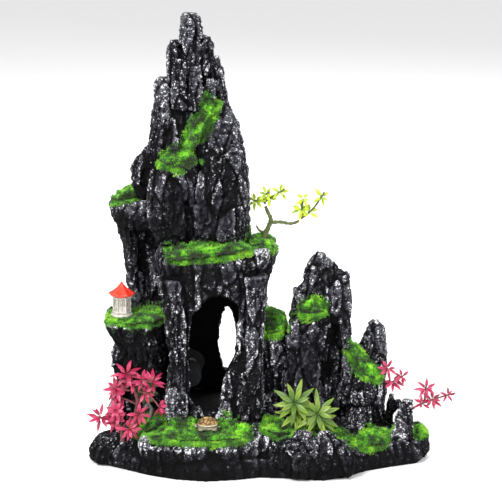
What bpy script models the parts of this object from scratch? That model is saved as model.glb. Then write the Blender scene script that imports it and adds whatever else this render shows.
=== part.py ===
"""Bubbling aquarium rockery: glued polyresin rock castings round a swim-through cave, with moss,
plastic plants, a pavilion, a turtle and an air stone cartridge that plugs into the back wall.

Run with: blender --background --python part.py
Frame: origin at the middle of the base's flat underside, +Z up, front towards -Y.
Every size and place below is in millimetres. The last step shrinks each piece to Blender's metres.
"""

import math

import bmesh
import bpy
from mathutils import Matrix, Vector, noise

MM = 0.001

# Driving dimensions.
GLUE_GAP = 0.45
SEAT_GAP = 0.4
PLANTING_GAP = 0.5
STEM_STEPS = 2
RING_SIDES = 12
COLUMN_SIDES = 7
WELD = 0.001
LEAST_LEFT = 0.1
FLAT_ANGLE = math.radians(1.0)

# The ground's level, and the two mounds that the rocks stand on: centre x and y, spread x and y, rise.
GROUND_LEVEL = 15.0
MOUNDS = [(-35, 8, 50, 52, 24.0), (45, 2, 45, 36, 12.0)]

# The air stone cartridge's axis, which runs along Y through the cave's back wall.
CARTRIDGE_X, CARTRIDGE_Z = -45.5, 58.0
BACK_WALL_INSIDE = 23.0
STOPPER_HOLE_RADIUS = 9.4

# Colours (linear RGB), roughness and metallic.
FINISHES = {
    "rock": ((0.022, 0.023, 0.027), 0.85, 0.0),
    "moss": ((0.10, 0.30, 0.02), 0.95, 0.0),
    "red_leaf": ((0.75, 0.02, 0.10), 0.45, 0.0),
    "green_leaf": ((0.35, 0.55, 0.05), 0.45, 0.0),
    "brown_stem": ((0.16, 0.07, 0.045), 0.6, 0.0),
    "green_stem": ((0.05, 0.10, 0.02), 0.6, 0.0),
    "dark_green_leaf": ((0.02, 0.08, 0.02), 0.7, 0.0),
    "white_wall": ((0.72, 0.69, 0.62), 0.6, 0.0),
    "red_roof": ((0.80, 0.04, 0.02), 0.4, 0.0),
    "shell_brown": ((0.42, 0.28, 0.08), 0.5, 0.0),
    "black_rubber": ((0.02, 0.02, 0.02), 0.7, 0.0),
    "clear_plastic": ((0.75, 0.78, 0.80), 0.2, 0.0),
    "mineral": ((0.10, 0.16, 0.22), 0.95, 0.0),
}


# ---------------------------------------------------------------- scene and object helpers


def clear_scene():
    for obj in list(bpy.data.objects):
        bpy.data.objects.remove(obj, do_unlink=True)


def collection(name):
    made = bpy.data.collections.new(name)
    bpy.context.scene.collection.children.link(made)
    return made


def material(name):
    """The Principled material of a finish, made the first time that it is asked for."""
    found = bpy.data.materials.get(name)
    if found:
        return found
    colour, roughness, metallic = FINISHES[name]
    made = bpy.data.materials.new(name)
    made.use_nodes = True
    shader = made.node_tree.nodes["Principled BSDF"]
    shader.inputs["Base Color"].default_value = (*colour, 1.0)
    shader.inputs["Roughness"].default_value = roughness
    shader.inputs["Metallic"].default_value = metallic
    made.diffuse_color = (*colour, 1.0)
    return made


def object_from(bm, name):
    """A new object from a bmesh, triangulated so that Booleans see flat faces."""
    bmesh.ops.triangulate(bm, faces=bm.faces, quad_method="FIXED", ngon_method="EAR_CLIP")
    bmesh.ops.recalc_face_normals(bm, faces=bm.faces)
    mesh = bpy.data.meshes.new(name)
    bm.to_mesh(mesh)
    bm.free()
    obj = bpy.data.objects.new(name, mesh)
    PARTS.objects.link(obj)
    return obj


def finish(obj, finish_name, smooth_angle=35):
    obj.data.materials.clear()
    obj.data.materials.append(material(finish_name))
    obj.data.shade_smooth()
    obj.data.set_sharp_from_angle(angle=math.radians(smooth_angle))
    return obj


def evaluated_mesh(obj, least_volume=0.0):
    """The mesh that an object's modifiers, or a curve, give: welded, flat faces merged, and in triangles.

    A split of a many-sided face can fall on an edge that is there already, so where that leaves the mesh
    open it is made again without merging the flat faces.
    """
    graph = bpy.context.evaluated_depsgraph_get()
    evaluated = obj.evaluated_get(graph)
    for flat_angle in (FLAT_ANGLE, 0.0):
        mesh = bpy.data.meshes.new_from_object(evaluated)
        mesh.transform(obj.matrix_world)
        bm = bmesh.new()
        bm.from_mesh(mesh)
        bmesh.ops.remove_doubles(bm, verts=bm.verts, dist=WELD)
        if flat_angle:
            bmesh.ops.dissolve_limit(bm, angle_limit=flat_angle, verts=bm.verts, edges=bm.edges)
        bmesh.ops.triangulate(bm, faces=bm.faces, quad_method="FIXED", ngon_method="EAR_CLIP")
        bm.to_mesh(mesh)
        bm.free()
        if closed_volume(mesh) > least_volume:
            return mesh
    return None


def replaced(obj, mesh):
    """A new object with an old one's name, which holds the given mesh."""
    name = obj.name
    bpy.data.objects.remove(obj, do_unlink=True)
    made = bpy.data.objects.new(name, mesh)
    PARTS.objects.link(made)
    return made


def closed_volume(mesh):
    """The volume of a closed mesh, or nothing where it has an open or a shared edge."""
    bm = bmesh.new()
    bm.from_mesh(mesh)
    closed = all(len(edge.link_faces) == 2 for edge in bm.edges)
    volume = bm.calc_volume() if closed else 0.0
    bm.free()
    return volume


def boolean(obj, others, operation):
    """Joins the others to obj, or cuts them from it, one after another, and removes them.

    The manifold solver steps in where the exact one leaves an open edge or nothing at all.
    """
    for other in others:
        least = closed_volume(obj.data) * (0.9 if operation == "UNION" else LEAST_LEFT)
        modifier = obj.modifiers.new(operation.title(), "BOOLEAN")
        modifier.operation = operation
        modifier.solver = "EXACT"
        modifier.object = other
        mesh = evaluated_mesh(obj, least)
        if mesh is None:
            modifier.solver = "MANIFOLD"
            mesh = evaluated_mesh(obj, least)
        bpy.data.objects.remove(other, do_unlink=True)
        obj = replaced(obj, mesh)
    return obj


def join(name, pieces):
    joined = boolean(pieces[0], pieces[1:], "UNION") if len(pieces) > 1 else pieces[0]
    joined.name = name
    return joined


def carve(obj, cutters):
    return drop_crumbs(boolean(obj, cutters, "DIFFERENCE")) if cutters else obj


def drop_crumbs(obj):
    """Keeps only the biggest of an object's separate shells."""
    bm = bmesh.new()
    bm.from_mesh(obj.data)
    left = set(bm.verts)
    shells = []
    while left:
        shell, front = set(), [left.pop()]
        while front:
            vertex = front.pop()
            shell.add(vertex)
            near = {edge.other_vert(vertex) for edge in vertex.link_edges} & left
            left -= near
            front.extend(near)
        shells.append(shell)
    shells.sort(key=len)
    bmesh.ops.delete(bm, geom=[v for shell in shells[:-1] for v in shell], context="VERTS")
    bm.to_mesh(obj.data)
    bm.free()
    return obj


# ---------------------------------------------------------------- basic shapes, in millimetres


def primitive_cylinder(radius, length, centre, axis="Z", sides=16):
    """A cylinder with its middle at centre."""
    bm = bmesh.new()
    bmesh.ops.create_cone(bm, cap_ends=True, segments=sides, radius1=radius, radius2=radius, depth=length)
    turn = {"Z": Matrix(), "Y": Matrix.Rotation(math.radians(-90), 4, "X")}[axis]
    bmesh.ops.transform(bm, matrix=Matrix.Translation(centre) @ turn, verts=bm.verts)
    return object_from(bm, "cylinder")


def loft(name, rings, end_middles=None):
    """A closed solid through rings of equal length, listed bottom to top, with a fan on each end."""
    bm = bmesh.new()
    loops = [[bm.verts.new(point) for point in ring] for ring in rings]
    count = len(rings[0])
    for low, high in zip(loops, loops[1:]):
        for i in range(count):
            j = (i + 1) % count
            bm.faces.new((low[i], low[j], high[j], high[i]))
    for end, loop in enumerate((loops[0], loops[-1])):
        centroid = sum((v.co for v in loop), Vector()) / count
        middle = bm.verts.new(end_middles[end] if end_middles else centroid)
        for i in range(count):
            bm.faces.new((loop[i], loop[(i + 1) % count], middle))
    return object_from(bm, name)


def turned(name, profile, centre, sides=16, axis="Z"):
    """A turned solid. The profile is (radius, height) from bottom to top; its ends are closed."""
    rings = [
        [Vector((r * math.cos(t), r * math.sin(t), h)) for t in angles(sides)] for r, h in profile
    ]
    if axis == "Y":
        rings = [[Vector((p.x, p.z, -p.y)) for p in ring] for ring in rings]
    return loft(name, [[p + Vector(centre) for p in ring] for ring in rings])


def angles(count):
    return [2 * math.pi * i / count for i in range(count)]


def rock_section(station, sides, seed, ribs):
    """One level ring of a rock: a squarish oval between the station's limits, with ribs that run up the rock."""
    z, left, right, front, back = station
    middle = Vector(((left + right) / 2, (front + back) / 2, z))
    half = ((right - left) / 2, (back - front) / 2)
    ring = []
    for t in angles(sides):
        c, s = math.cos(t + 0.2), math.sin(t + 0.2)
        x = math.copysign(abs(c) ** 0.75, c) * half[0]
        y = math.copysign(abs(s) ** 0.75, s) * half[1]
        rib = noise.noise(Vector((2.4 * c + seed, 2.4 * s - seed, z / 45)))
        chip = noise.noise(Vector((1.7 * c, 1.7 * s + seed, z / 9)))
        swell = 1 + ribs * (1.3 * rib + 0.7 * chip)
        ring.append(middle + Vector((x * swell, y * swell, 0)))
    return ring


def rock_column(stations, seed, sides=COLUMN_SIDES, ribs=0.12, grow=0.0):
    """A tapered rock through (z, left, right, front, back) stations, which may be grown all round."""
    rings = []
    for i, (z, left, right, front, back) in enumerate(stations):
        height = z + grow * {0: -1, len(stations) - 1: 1}.get(i, 0)
        section = (z, left - grow, right + grow, front - grow, back + grow)
        rings.append([Vector((p.x, p.y, height)) for p in rock_section(section, sides, seed, ribs)])
    return loft("column", rings)


def rock(name, grow=0.0):
    """A casting made of rock columns grown into one another. The first column is the broad one."""
    ribs, columns = ROCKS[name]
    made = [
        rock_column(stations, 1.37 * i + len(name), RING_SIDES if i == 0 else COLUMN_SIDES, ribs, grow)
        for i, stations in enumerate(columns)
    ]
    return join(name, made)


def seat(name):
    """What a neighbour is cut with, so that it stands a thin gap off this casting."""
    return make_slab("seat", GLUE_GAP) if name == "base_rock" else rock(name, GLUE_GAP)


def prism(outline, near, far):
    """A solid with an (x, z) outline, from y = near to y = far."""
    rings = [[Vector((x, y, z)) for x, z in outline] for y in (near, far)]
    return loft("prism", rings)


def oval(centre_x, centre_z, half_x, half_z, sides=14):
    return [(centre_x + half_x * math.cos(t), centre_z + half_z * math.sin(t)) for t in angles(sides)]


# ---------------------------------------------------------------- the ground and the base


def ground(x, y):
    """The height of the base's top surface."""
    height = GROUND_LEVEL
    for cx, cy, wide, deep, rise in MOUNDS:
        height += rise * math.exp(-(((x - cx) / wide) ** 4) - (((y - cy) / deep) ** 4))
    return height


# The base's outline on the floor, anticlockwise from its left tip, in (x, y).
FOOTPRINT = [
    (-111, -14), (-103, -24), (-91, -32), (-74, -44), (-55, -53), (-35, -57), (-15, -54),
    (0, -49), (20, -51), (43, -55), (58, -48), (72, -36), (90, -27), (107, -20),
    (113, -7), (111, 8), (98, 21), (76, 32), (45, 38), (10, 41), (-30, 41), (-65, 37), (-92, 27), (-107, 10),
]


def base_ring(share, height=None, grow=0.0):
    """The footprint shrunk about the origin, at one height or on the ground's surface."""
    ring = []
    for x, y in FOOTPRINT:
        x, y = x * share, y * share
        outward = Vector((x, y, 0)).normalized() * grow
        z = ground(x, y) + grow if height is None else height
        ring.append(Vector((x, y, z)) + outward)
    return ring


def make_slab(name, grow=0.0):
    """The base's slab with its front terrace, which may be grown all round."""
    slab = loft("slab", [
        base_ring(0.985, -grow, grow), base_ring(1.0, 4, grow), base_ring(0.99, 9, grow),
        base_ring(0.95, 13 + grow, grow), base_ring(0.86, None, grow), base_ring(0.7, None, grow),
        base_ring(0.5, None, grow), base_ring(0.25, None, grow),
    ])
    terrace = rock_column([
        (6, -74, -5, -51, -16), (13, -77, -2, -54, -14), (21, -79, -1, -55, -14), (26, -76, -3, -52, -16),
    ], 2.0, sides=18, ribs=0.05, grow=grow)
    return join(name, [slab, terrace])


def make_base():
    notch = rock_column([(12, -2, 8, -60, -42), (30, -5, 9, -60, -38)], 5.0, ribs=0.1)
    undercut = rock_column([(3, -2, 40, -62, -52), (10, -4, 30, -60, -50), (14, 4, 20, -58, -50)], 3.0)
    return carve(make_slab("base_rock"), [notch, undercut])


# ---------------------------------------------------------------- the rock castings


# Each casting's ribs, as a share of its width, and its columns. A column is a list of level sections from
# bottom to top: height, left and right in x, front and back in y.
ROCKS = {
    "cave_rock": (0.05, [
        [(30, -62, 5, -30, 31), (50, -61, 4, -29, 31), (65, -60, 3, -28, 31), (85, -60, 3.5, -27, 31),
         (106, -61, 5, -26.5, 31), (117, -63.5, 4, -27, 31), (127, -66, 6, -28, 31.5),
         (138, -68, 8, -29.5, 32), (146, -66, 9, -28, 31)],
        [(104, -6, 5, -9, 12), (118, -5, 5, -10, 13), (130, -5, 9, -11, 14), (140, -4, 11.5, -11, 15),
         (146, -3, 11, -9, 13)],
        [(30, -62, -46, -32, -10), (60, -60, -46, -31, -10), (100, -61, -47, -30, -10), (128, -67, -50, -31, -12)],
        [(30, -22, 2, -31, -12), (50, -21, 2, -30, -12), (66, -17, 3, -29, -12), (80, -10, 3, -28, -12),
         (110, -8, 4, -28, -12), (130, -10, 6, -29, -12)],
    ]),
    "main_peak_rock": (0.09, [
        [(147.3, -66, -6.5, -14, 33), (160, -72, -6.5, -16, 33), (178, -75, -7, -16, 32), (190, -80, -8.4, -16, 31),
         (201, -80, -9.6, -15, 29), (207, -78, -10.2, -14, 27), (217.5, -73, -11.6, -13, 25),
         (228, -69.5, -15.5, -12, 22), (239, -67, -21, -11, 19), (250, -65, -23.3, -9, 16)],
        # The broad buttress on the front right, and the slab left of the mossy gully.
        [(148.1, -40, -9, -20, 4), (165, -42, -8, -23, 4), (185, -42, -8, -25, 4), (203, -41, -9, -22, 4),
         (222, -38, -12, -18, 4), (236, -33, -17, -15, 4), (243, -31, -21, -12, 2)],
        [(150, -68, -46, -17, 4), (168, -73, -46, -22, 4), (188, -74, -46, -24, 4), (199, -72, -47, -21, 4),
         (204, -68, -50, -17, 2)],
        # The left flank, which hangs over the pillar.
        [(177, -80, -70, -3, 9), (188, -84, -70, -8, 11), (199, -82.5, -69, -8, 10), (208, -78, -66, -6, 8)],
        # The left shoulder and the organ pipes of the top, each to its own height.
        [(198, -78, -54, -12, 14), (225, -70.5, -54, -12, 14), (242, -67.5, -54, -11, 12), (253, -66.5, -56, -8, 9),
         (256.5, -64, -58, -5, 6)],
        [(240, -59, -47, -10, 5), (255, -57, -47, -10, 5), (262, -58.5, -48, -9, 4), (276, -58.5, -49, -8, 3),
         (282, -57, -50, -6, 1)],
        [(235, -50, -37, -10, 8), (270, -50, -37, -9, 7), (290, -49.5, -37.5, -7, 5), (296, -49, -38.5, -6, 4),
         (299, -46.5, -41, -3, 2)],
        [(238, -41, -28, -9, 10), (268, -40, -28.5, -7, 9), (280, -39, -29.5, -5, 7), (284, -37.5, -32, -3, 5)],
        [(236, -34, -23.5, -6, 10), (262, -33, -23.5, -4, 9), (271, -31, -25, -2, 7)],
        [(232, -29, -21.5, -8, 6), (250, -29, -22, -7, 6), (263, -27.5, -23, -4, 3)],
        [(238, -57, -46, -17, -2), (262, -56, -46, -15, -2), (271, -54, -47, -12, -3)],
        [(238, -46.5, -36, -18, -2), (256, -46, -36, -16, -2), (266, -44.5, -38, -13, -3)],
        [(236, -37, -27.5, -16, -2), (250, -36.5, -28, -14, -2), (258, -35, -29, -11, -3)],
        [(235, -55, -31, 2, 17), (262, -53, -33, 3, 15), (277, -50, -36, 3, 12)],
        # The ribs on the back.
        [(148.9, -64, -44, 20, 37), (180, -70, -46, 20, 37), (205, -68, -48, 16, 32), (222, -62, -50, 12, 25)],
        [(149.6, -38, -14, 20, 38), (185, -38, -14, 20, 37), (215, -36, -18, 14, 29), (232, -33, -22, 10, 22)],
    ]),
    "left_ledge_rock": (0.07, [
        [(22, -97, -62, 2, 28), (45, -95, -60, 1, 28), (52, -94, -60, -3, 28), (60, -97, -59, -10, 28),
         (67.5, -99.5, -59, -14, 28), (74, -97, -59, -17, 28), (80, -96, -59, -20, 28), (90, -101, -60, -24, 27),
         (96, -103, -60, -26, 26), (99, -101, -61, -24, 24)],
        [(20, -100, -90, -6, 8), (36, -100, -91, -7, 8), (52, -95, -89, -8, 8), (66, -99, -88, -10, 8)],
        [(50, -80, -66, -12, 4), (66, -84, -64, -18, 4), (85, -86, -63, -24, 4)],
    ]),
    "left_pillar_rock": (0.07, [
        [(98, -84, -60, 7, 30), (119, -87, -60, 6, 30), (136, -90, -60, 5, 30), (150, -92, -62, 3, 30),
         (156, -93.5, -64, 1, 30), (163, -98, -66, -2, 30), (170, -99.5, -66, -4, 29), (174.5, -97, -68, -3, 27),
         (177, -91, -72, 3, 24)],
    ]),
    "saddle_rock": (0.12, [
        [(18, -4, 21, -14, 24), (50, -4, 20, -14, 22), (80, -4, 19.5, -14, 19), (90, -3, 19, -12, 15),
         (97, 0, 18, -7, 10), (99.5, 4, 15, -3, 7)],
    ]),
    "right_peak_rock": (0.09, [
        [(12, 14, 63, -6, 26), (60, 15, 62, -6, 25), (83, 17.5, 61, -6, 23), (96, 20.5, 60.5, -5, 21),
         (104, 22.5, 60, -3, 19), (113.5, 24.5, 60, -1, 17), (119, 29.5, 59.5, 1, 16), (125, 31, 58, 2, 14),
         (131, 33.5, 50.5, 3, 12), (138.4, 38.5, 41.5, 5, 9)],
        [(12, 12, 45, -20, 4), (58, 16, 42, -19, 4), (84, 19, 46, -18, 4), (97, 24, 51, -14, 3),
         (103, 27, 46, -11, 2)],
        [(78, 47, 61.5, -11, 4), (98, 49, 61, -10, 5), (115, 51, 60.5, -4, 7), (124, 53, 59, -1, 8)],
        [(100, 33, 45, -7, 6), (120, 34, 46, -3, 7), (130, 35.5, 44, 0, 8)],
        [(12, 20, 40, 18, 33), (70, 20, 42, 18, 31), (100, 26, 44, 12, 24)],
    ]),
    "right_spire_rock": (0.08, [
        [(10, 56, 86, -9, 21), (45, 58, 84.5, -9, 20), (58, 60, 85.5, -7, 18), (66, 63, 85, -5, 16),
         (72.5, 66, 84.7, -4, 14), (78, 69.5, 84.2, -3, 12), (86, 72.5, 83.5, 0, 10), (92, 75, 78, 3, 7)],
        [(40.5, 53, 84, -20, 2), (48, 52, 85, -21, 2), (58, 54, 83, -18, 2), (68, 56, 74, -13, 2),
         (78, 58, 65, -7, 2)],
        [(12, 59, 77, -23, 0), (26, 60, 76, -22, 0), (42, 61, 75, -18, 0)],
    ]),
    "front_boulder": (0.06, [
        [(2.5, 14, 62, -56, -36), (9, 7, 65, -57, -34), (17, 9, 60, -54, -33), (23, 12, 54, -50, -34),
         (25.5, 17, 50, -46, -36)],
        [(10, 37, 62, -57, -38), (20, 39, 56, -54, -39), (28, 41, 50, -49, -41), (30.5, 43, 46, -47, -43)],
        [(14, 16, 38, -53, -34), (24, 20, 35, -48, -35), (29.5, 24, 32, -44, -38)],
    ]),
    "toe_rock": (0.12, [
        [(1.5, -112, -84, -26, 2), (7, -113, -82, -28, 4), (13, -111, -83, -26, 3), (18, -106, -88, -20, -2)],
        [(6, -92, -78, -36, -16), (15, -92, -80, -34, -18), (22, -89, -83, -29, -22)],
    ]),
    "fang_rock": (0.14, [
        [(4, 80, 105, -19, -3), (12, 84, 104, -18, -4), (20, 89, 103, -15, -5), (30, 93, 102.5, -12, -5),
         (37, 95, 103, -11, -5), (40.5, 97, 102.5, -9.5, -6)],
    ]),
    "arch_horn_rock": (0.08, [
        [(12, 84, 93, -3, 8), (24, 84, 91, -2, 6), (34, 86, 92, -2, 5), (41.5, 88, 91, -1, 3)],
        [(30, 86, 93, -3, 4), (36, 90, 98, -4, 2), (38.5, 92, 96, -3, 1)],
    ]),
    "far_right_rock": (0.12, [
        [(0.8, 96, 113, -13, 8), (6, 96, 115, -14, 9), (14, 98, 114, -11, 8), (21, 101, 109, -5, 3)],
    ]),
}

# Which castings each one is fitted round.
FITTED_ROUND = {
    "cave_rock": ["base_rock"],
    "main_peak_rock": ["cave_rock"],
    "left_ledge_rock": ["base_rock", "cave_rock"],
    "left_pillar_rock": ["left_ledge_rock", "cave_rock", "main_peak_rock"],
    "saddle_rock": ["base_rock", "cave_rock"],
    "right_peak_rock": ["base_rock", "saddle_rock"],
    "right_spire_rock": ["base_rock", "right_peak_rock"],
    "front_boulder": ["base_rock"],
    "toe_rock": ["base_rock"],
    "fang_rock": ["base_rock"],
    "arch_horn_rock": ["base_rock", "fang_rock", "right_spire_rock"],
    "far_right_rock": ["base_rock", "fang_rock"],
}

CAVE_MOUTH = [
    (-45.5, 48), (-41, 42), (-34, 33), (-28, 33), (-24.5, 44), (-23, 60), (-20, 68), (-13.5, 80), (-12.5, 100),
    (-14, 111), (-20, 116), (-31, 118), (-38, 113), (-44, 102), (-46, 85),
]
CHAMBER = [(-56, 30), (-3, 30), (-3, 100), (-9, 118), (-20, 124), (-40, 124), (-50, 112), (-57, 95)]
WINDOW = oval(-21.3, 74.3, 6.8, 23.0)


def cave_cutters():
    """The cave's chamber, its mouth, the window at the back, and the hole for the air stone's stopper."""
    return [
        prism(CHAMBER, -19.5, BACK_WALL_INSIDE),
        prism(CAVE_MOUTH, -40, -15),
        prism(WINDOW, BACK_WALL_INSIDE - 4, 40),
        primitive_cylinder(STOPPER_HOLE_RADIUS, 20, (CARTRIDGE_X, 27, CARTRIDGE_Z), axis="Y", sides=24),
    ]


def pillar_cutters():
    """The dark recess on the pillar's right."""
    return [rock_column([(104, -80, -60, -6, 14), (135, -84, -60, -6, 15), (156, -86, -60, -6, 12)], 6.0)]


def right_peak_cutters():
    """The narrow niche at the right peak's foot."""
    return [rock_column([(50, 41, 55, -24, -4), (70, 43, 54, -22, -4), (92, 48, 52, -16, -3)], 7.0)]


CUTTERS = {
    "cave_rock": cave_cutters,
    "left_pillar_rock": pillar_cutters,
    "right_peak_rock": right_peak_cutters,
}


def make_rock(name):
    made = rock(name)
    if name in CUTTERS:
        made = carve(made, CUTTERS[name]())
    return carve(made, [seat(neighbour) for neighbour in FITTED_ROUND[name]])


# ---------------------------------------------------------------- moss


# Each pad's rim as (x, y, z) round its outline, its rise, and how deep it is bedded in the rock.
MOSS_PADS = {
    "moss_gully_upper": ([(-34, -14, 246), (-26, -13, 245), (-30, -16, 236), (-35, -19, 226), (-39, -20, 216),
                          (-44, -19, 213), (-48, -14, 216), (-45, -13, 226), (-40, -13, 237)], 2.5, 4.0),
    "moss_gully_ledge": ([(-66, -15, 206), (-58, -21, 205), (-50, -22, 204), (-43, -22, 202), (-38, -22, 206),
                          (-44, -14, 211), (-53, -12, 212), (-61, -11, 209)], 2.5, 4.0),
    "moss_pillar_top": ([(-97, 2, 176), (-92, -1, 176.5), (-86, -1, 177), (-80, 1, 178), (-77, 8, 184),
                         (-80, 18, 184), (-88, 22, 179), (-95, 12, 176.5)], 2.5, 4.0),
    "moss_shelf": ([(-62, -26, 143), (-52, -29, 145), (-38, -30, 146.5), (-24, -30, 148), (-10, -28, 149),
                    (-5, -22, 150), (-10, -17, 152), (-28, -19, 152), (-45, -16, 151), (-60, -14, 148)], 2.2, 5.0),
    "moss_tree_shelf": ([(-6, -12, 149), (3, -12, 148), (11, -8, 146.5), (12, 3, 147), (9, 12, 148),
                         (0, 13, 150), (-6, 6, 151)], 3.0, 5.0),
    "moss_left_ledge": ([(-102, -8, 98.5), (-96, -20, 98.5), (-84, -26, 98.5), (-70, -25, 100), (-63, -20, 101),
                         (-62, -4, 102), (-66, 4, 103), (-80, 4, 102), (-95, 3, 100)], 1.6, 4.0),
    "moss_saddle": ([(1, -9, 92), (6, -14, 89), (13, -14, 90), (18, -9, 94), (18, 0, 98), (15, 6, 100),
                     (7, 7, 101), (2, 3, 101)], 3.5, 5.0),
    "moss_right_peak_ledge": ([(26, -8, 103), (31, -12, 102.5), (38, -12, 102.5), (44, -9, 103.5), (43, -5, 108),
                               (36, -5, 109), (29, -4, 108)], 2.0, 4.0),
    "moss_spire_ramp": ([(58, -7, 80), (61, -12, 74), (66, -16, 66), (73, -18, 60), (80, -17, 58.5),
                         (80, -9, 64), (74, -7, 67), (68, -7, 72), (62, -4, 80)], 2.2, 4.0),
    "moss_ground_left": ([(-70, -46, 27.5), (-48, -52, 27.5), (-28, -52, 27.5), (-12, -49, 27.5), (-5, -42, 28),
                          (-8, -33.5, 34), (-26, -33, 38), (-46, -33, 37.5), (-60, -32, 33.5), (-68, -38, 28.5)],
                         1.5, 5.0),
    "moss_ground_corner": ([(-84, -20, 27), (-80, -36, 26.5), (-71, -35.5, 29.5), (-64, -30, 33), (-70, -14, 33),
                            (-78, -8, 31)], 1.5, 5.0),
    "moss_ground_right": ([(2, -34, 29), (12, -38, 28), (26, -38, 26), (42, -38, 24), (56, -40, 19), (62, -33, 21),
                           (58, -25, 27), (44, -22, 29), (24, -22, 31), (6, -24, 32)], 1.5, 5.0),
    "moss_ground_far": ([(65, -34, 17), (76, -30, 16.5), (84, -24, 17), (86, -14, 22), (78, -16, 25),
                         (70, -22, 24.5)], 1.5, 4.0),
    "moss_far_right": ([(101, -6, 20), (106, -8, 17), (111, -4, 15), (110, 3, 17), (103, 3, 21)], 1.2, 3.0),
}


# The pads that lie against a steep face, and the way they look.
STEEP_PADS = {"moss_gully_upper": Vector((0.25, -0.87, 0.42)).normalized()}


def moss_pad(name, grow=0.0):
    """A low cushion over a rim: bedded below it, and crowned above. It may be grown all round."""
    rim, rise, bed = MOSS_PADS[name]
    rim = [Vector(p) for p in rim]
    middle = sum(rim, Vector()) / len(rim)
    up = STEEP_PADS.get(name, Vector((0, 0, 1)))
    outward = [(p - middle) - up * (p - middle).dot(up) for p in rim]
    rim = [p + out.normalized() * grow * 1.5 for p, out in zip(rim, outward)]
    rings = [
        [middle.lerp(p, 0.55) - up * (bed + grow) for p in rim],
        [middle.lerp(p, 0.94) - up * (bed * 0.55 + grow) for p in rim],
        [p + up * grow for p in rim],
        [middle.lerp(p, 0.62) + up * (rise + grow) for p in rim],
    ]
    return loft(name, rings)


# ---------------------------------------------------------------- ornaments


PAVILION_X, PAVILION_Y, PAVILION_Z = -90.3, -11.5, 100.6


def hexagon(radius, height, corner_lift=0.0):
    """Twelve points round a hexagon: its corners, which may be lifted, and the middles of its sides."""
    ring = []
    for i, t in enumerate(angles(12)):
        corner = i % 2 == 0
        reach = radius if corner else radius * math.cos(math.pi / 6)
        lift = corner_lift if corner else 0.0
        ring.append(Vector((reach * math.cos(t), reach * math.sin(t), height + lift)))
    return [p + Vector((PAVILION_X, PAVILION_Y, PAVILION_Z)) for p in ring]


def standing_place(centre, radius):
    """A clear space that stands on a level floor, to cut the moss and rock under a small ornament with."""
    return primitive_cylinder(radius, 20, centre + Vector((0, 0, 10 - SEAT_GAP)), sides=14)


def make_pavilion():
    plinth = loft("pavilion_plinth", [hexagon(7.6, 0), hexagon(7.6, 1.2), hexagon(7.0, 1.8)])
    walls = loft("pavilion_walls", [hexagon(6.4, 2.1), hexagon(6.3, 13.2)])
    roof = loft("pavilion_roof", [
        hexagon(6.0, 13.5), hexagon(8.6, 14.0, 0.9), hexagon(8.4, 15.0, 0.9), hexagon(5.2, 17.2),
        hexagon(2.6, 20.0), hexagon(0.9, 22.4), hexagon(0.3, 23.4),
    ])
    return [finish(plinth, "white_wall"), finish(walls, "white_wall"), finish(roof, "red_roof")]


TURTLE = Vector((-33.5, -41.0, 31.2))


def ellipsoid(centre, radii):
    bm = bmesh.new()
    bmesh.ops.create_icosphere(bm, subdivisions=1, radius=1)
    bmesh.ops.scale(bm, vec=radii, verts=bm.verts)
    bmesh.ops.translate(bm, vec=centre, verts=bm.verts)
    return object_from(bm, "ellipsoid")


def make_turtle():
    """A resin turtle that looks to the left: a body with head, legs and tail, and its shell."""
    body = turned("turtle_body", [(6.0, 0.6), (6.4, 1.4), (6.0, 2.6)], (0, 0, 0), 14)
    body.data.transform(Matrix.Diagonal((1.0, 0.75, 1.0, 1.0)))
    body.data.transform(Matrix.Translation(TURTLE))
    limbs = [
        ellipsoid(TURTLE + Vector((-7.2, -0.6, 2.6)), (2.6, 1.8, 1.7)),
        ellipsoid(TURTLE + Vector((6.9, 0.3, 1.6)), (2.0, 0.9, 0.8)),
    ]
    limbs += [
        ellipsoid(TURTLE + Vector((4.3 * side, 4.3 * end, 1.3)), (2.4, 2.1, 1.3))
        for side in (-1, 1) for end in (-1, 1)
    ]
    body = boolean(body, limbs, "UNION")
    shell = turned("turtle_shell", [(6.6, 0), (6.9, 0.7), (6.0, 2.4), (4.0, 4.2), (1.6, 5.0)], (0, 0, 0), 14)
    shell.data.transform(Matrix.Diagonal((1.0, 0.78, 1.0, 1.0)))
    shell.data.transform(Matrix.Translation(TURTLE + Vector((0, 0, 3.0))))
    under_shell = standing_place(TURTLE + Vector((0, 0, 3.0)), 7.4)
    return [finish(carve(body, [under_shell]), "shell_brown"), finish(shell, "shell_brown")]


# ---------------------------------------------------------------- plants


def smooth_route(points, steps):
    """Points along a smooth curve through the given ones."""
    found = []
    ends = [points[0]] + list(points) + [points[-1]]
    for p0, p1, p2, p3 in zip(ends, ends[1:], ends[2:], ends[3:]):
        for k in range(steps):
            t = k / steps
            found.append(
                0.5 * ((2 * p1) + (p2 - p0) * t + (2 * p0 - 5 * p1 + 4 * p2 - p3) * t * t
                       + (3 * p1 - p0 - 3 * p2 + p3) * t ** 3)
            )
    return found + [points[-1]]


def stem(points, thick, thin):
    """A tapering stem along a smooth route, as a mesh with closed ends."""
    route = smooth_route([Vector(p) for p in points], STEM_STEPS)
    curve = bpy.data.curves.new("stem", "CURVE")
    curve.dimensions = "3D"
    curve.bevel_depth = thick
    curve.bevel_resolution = 1
    curve.use_fill_caps = True
    spline = curve.splines.new("POLY")
    spline.points.add(len(route) - 1)
    for i, (point, place) in enumerate(zip(spline.points, route)):
        point.co = (*place, 1)
        point.radius = 1 + (thin / thick - 1) * i / (len(route) - 1)
    obj = bpy.data.objects.new("stem", curve)
    PARTS.objects.link(obj)
    bpy.context.view_layer.update()
    return replaced(obj, evaluated_mesh(obj))


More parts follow.
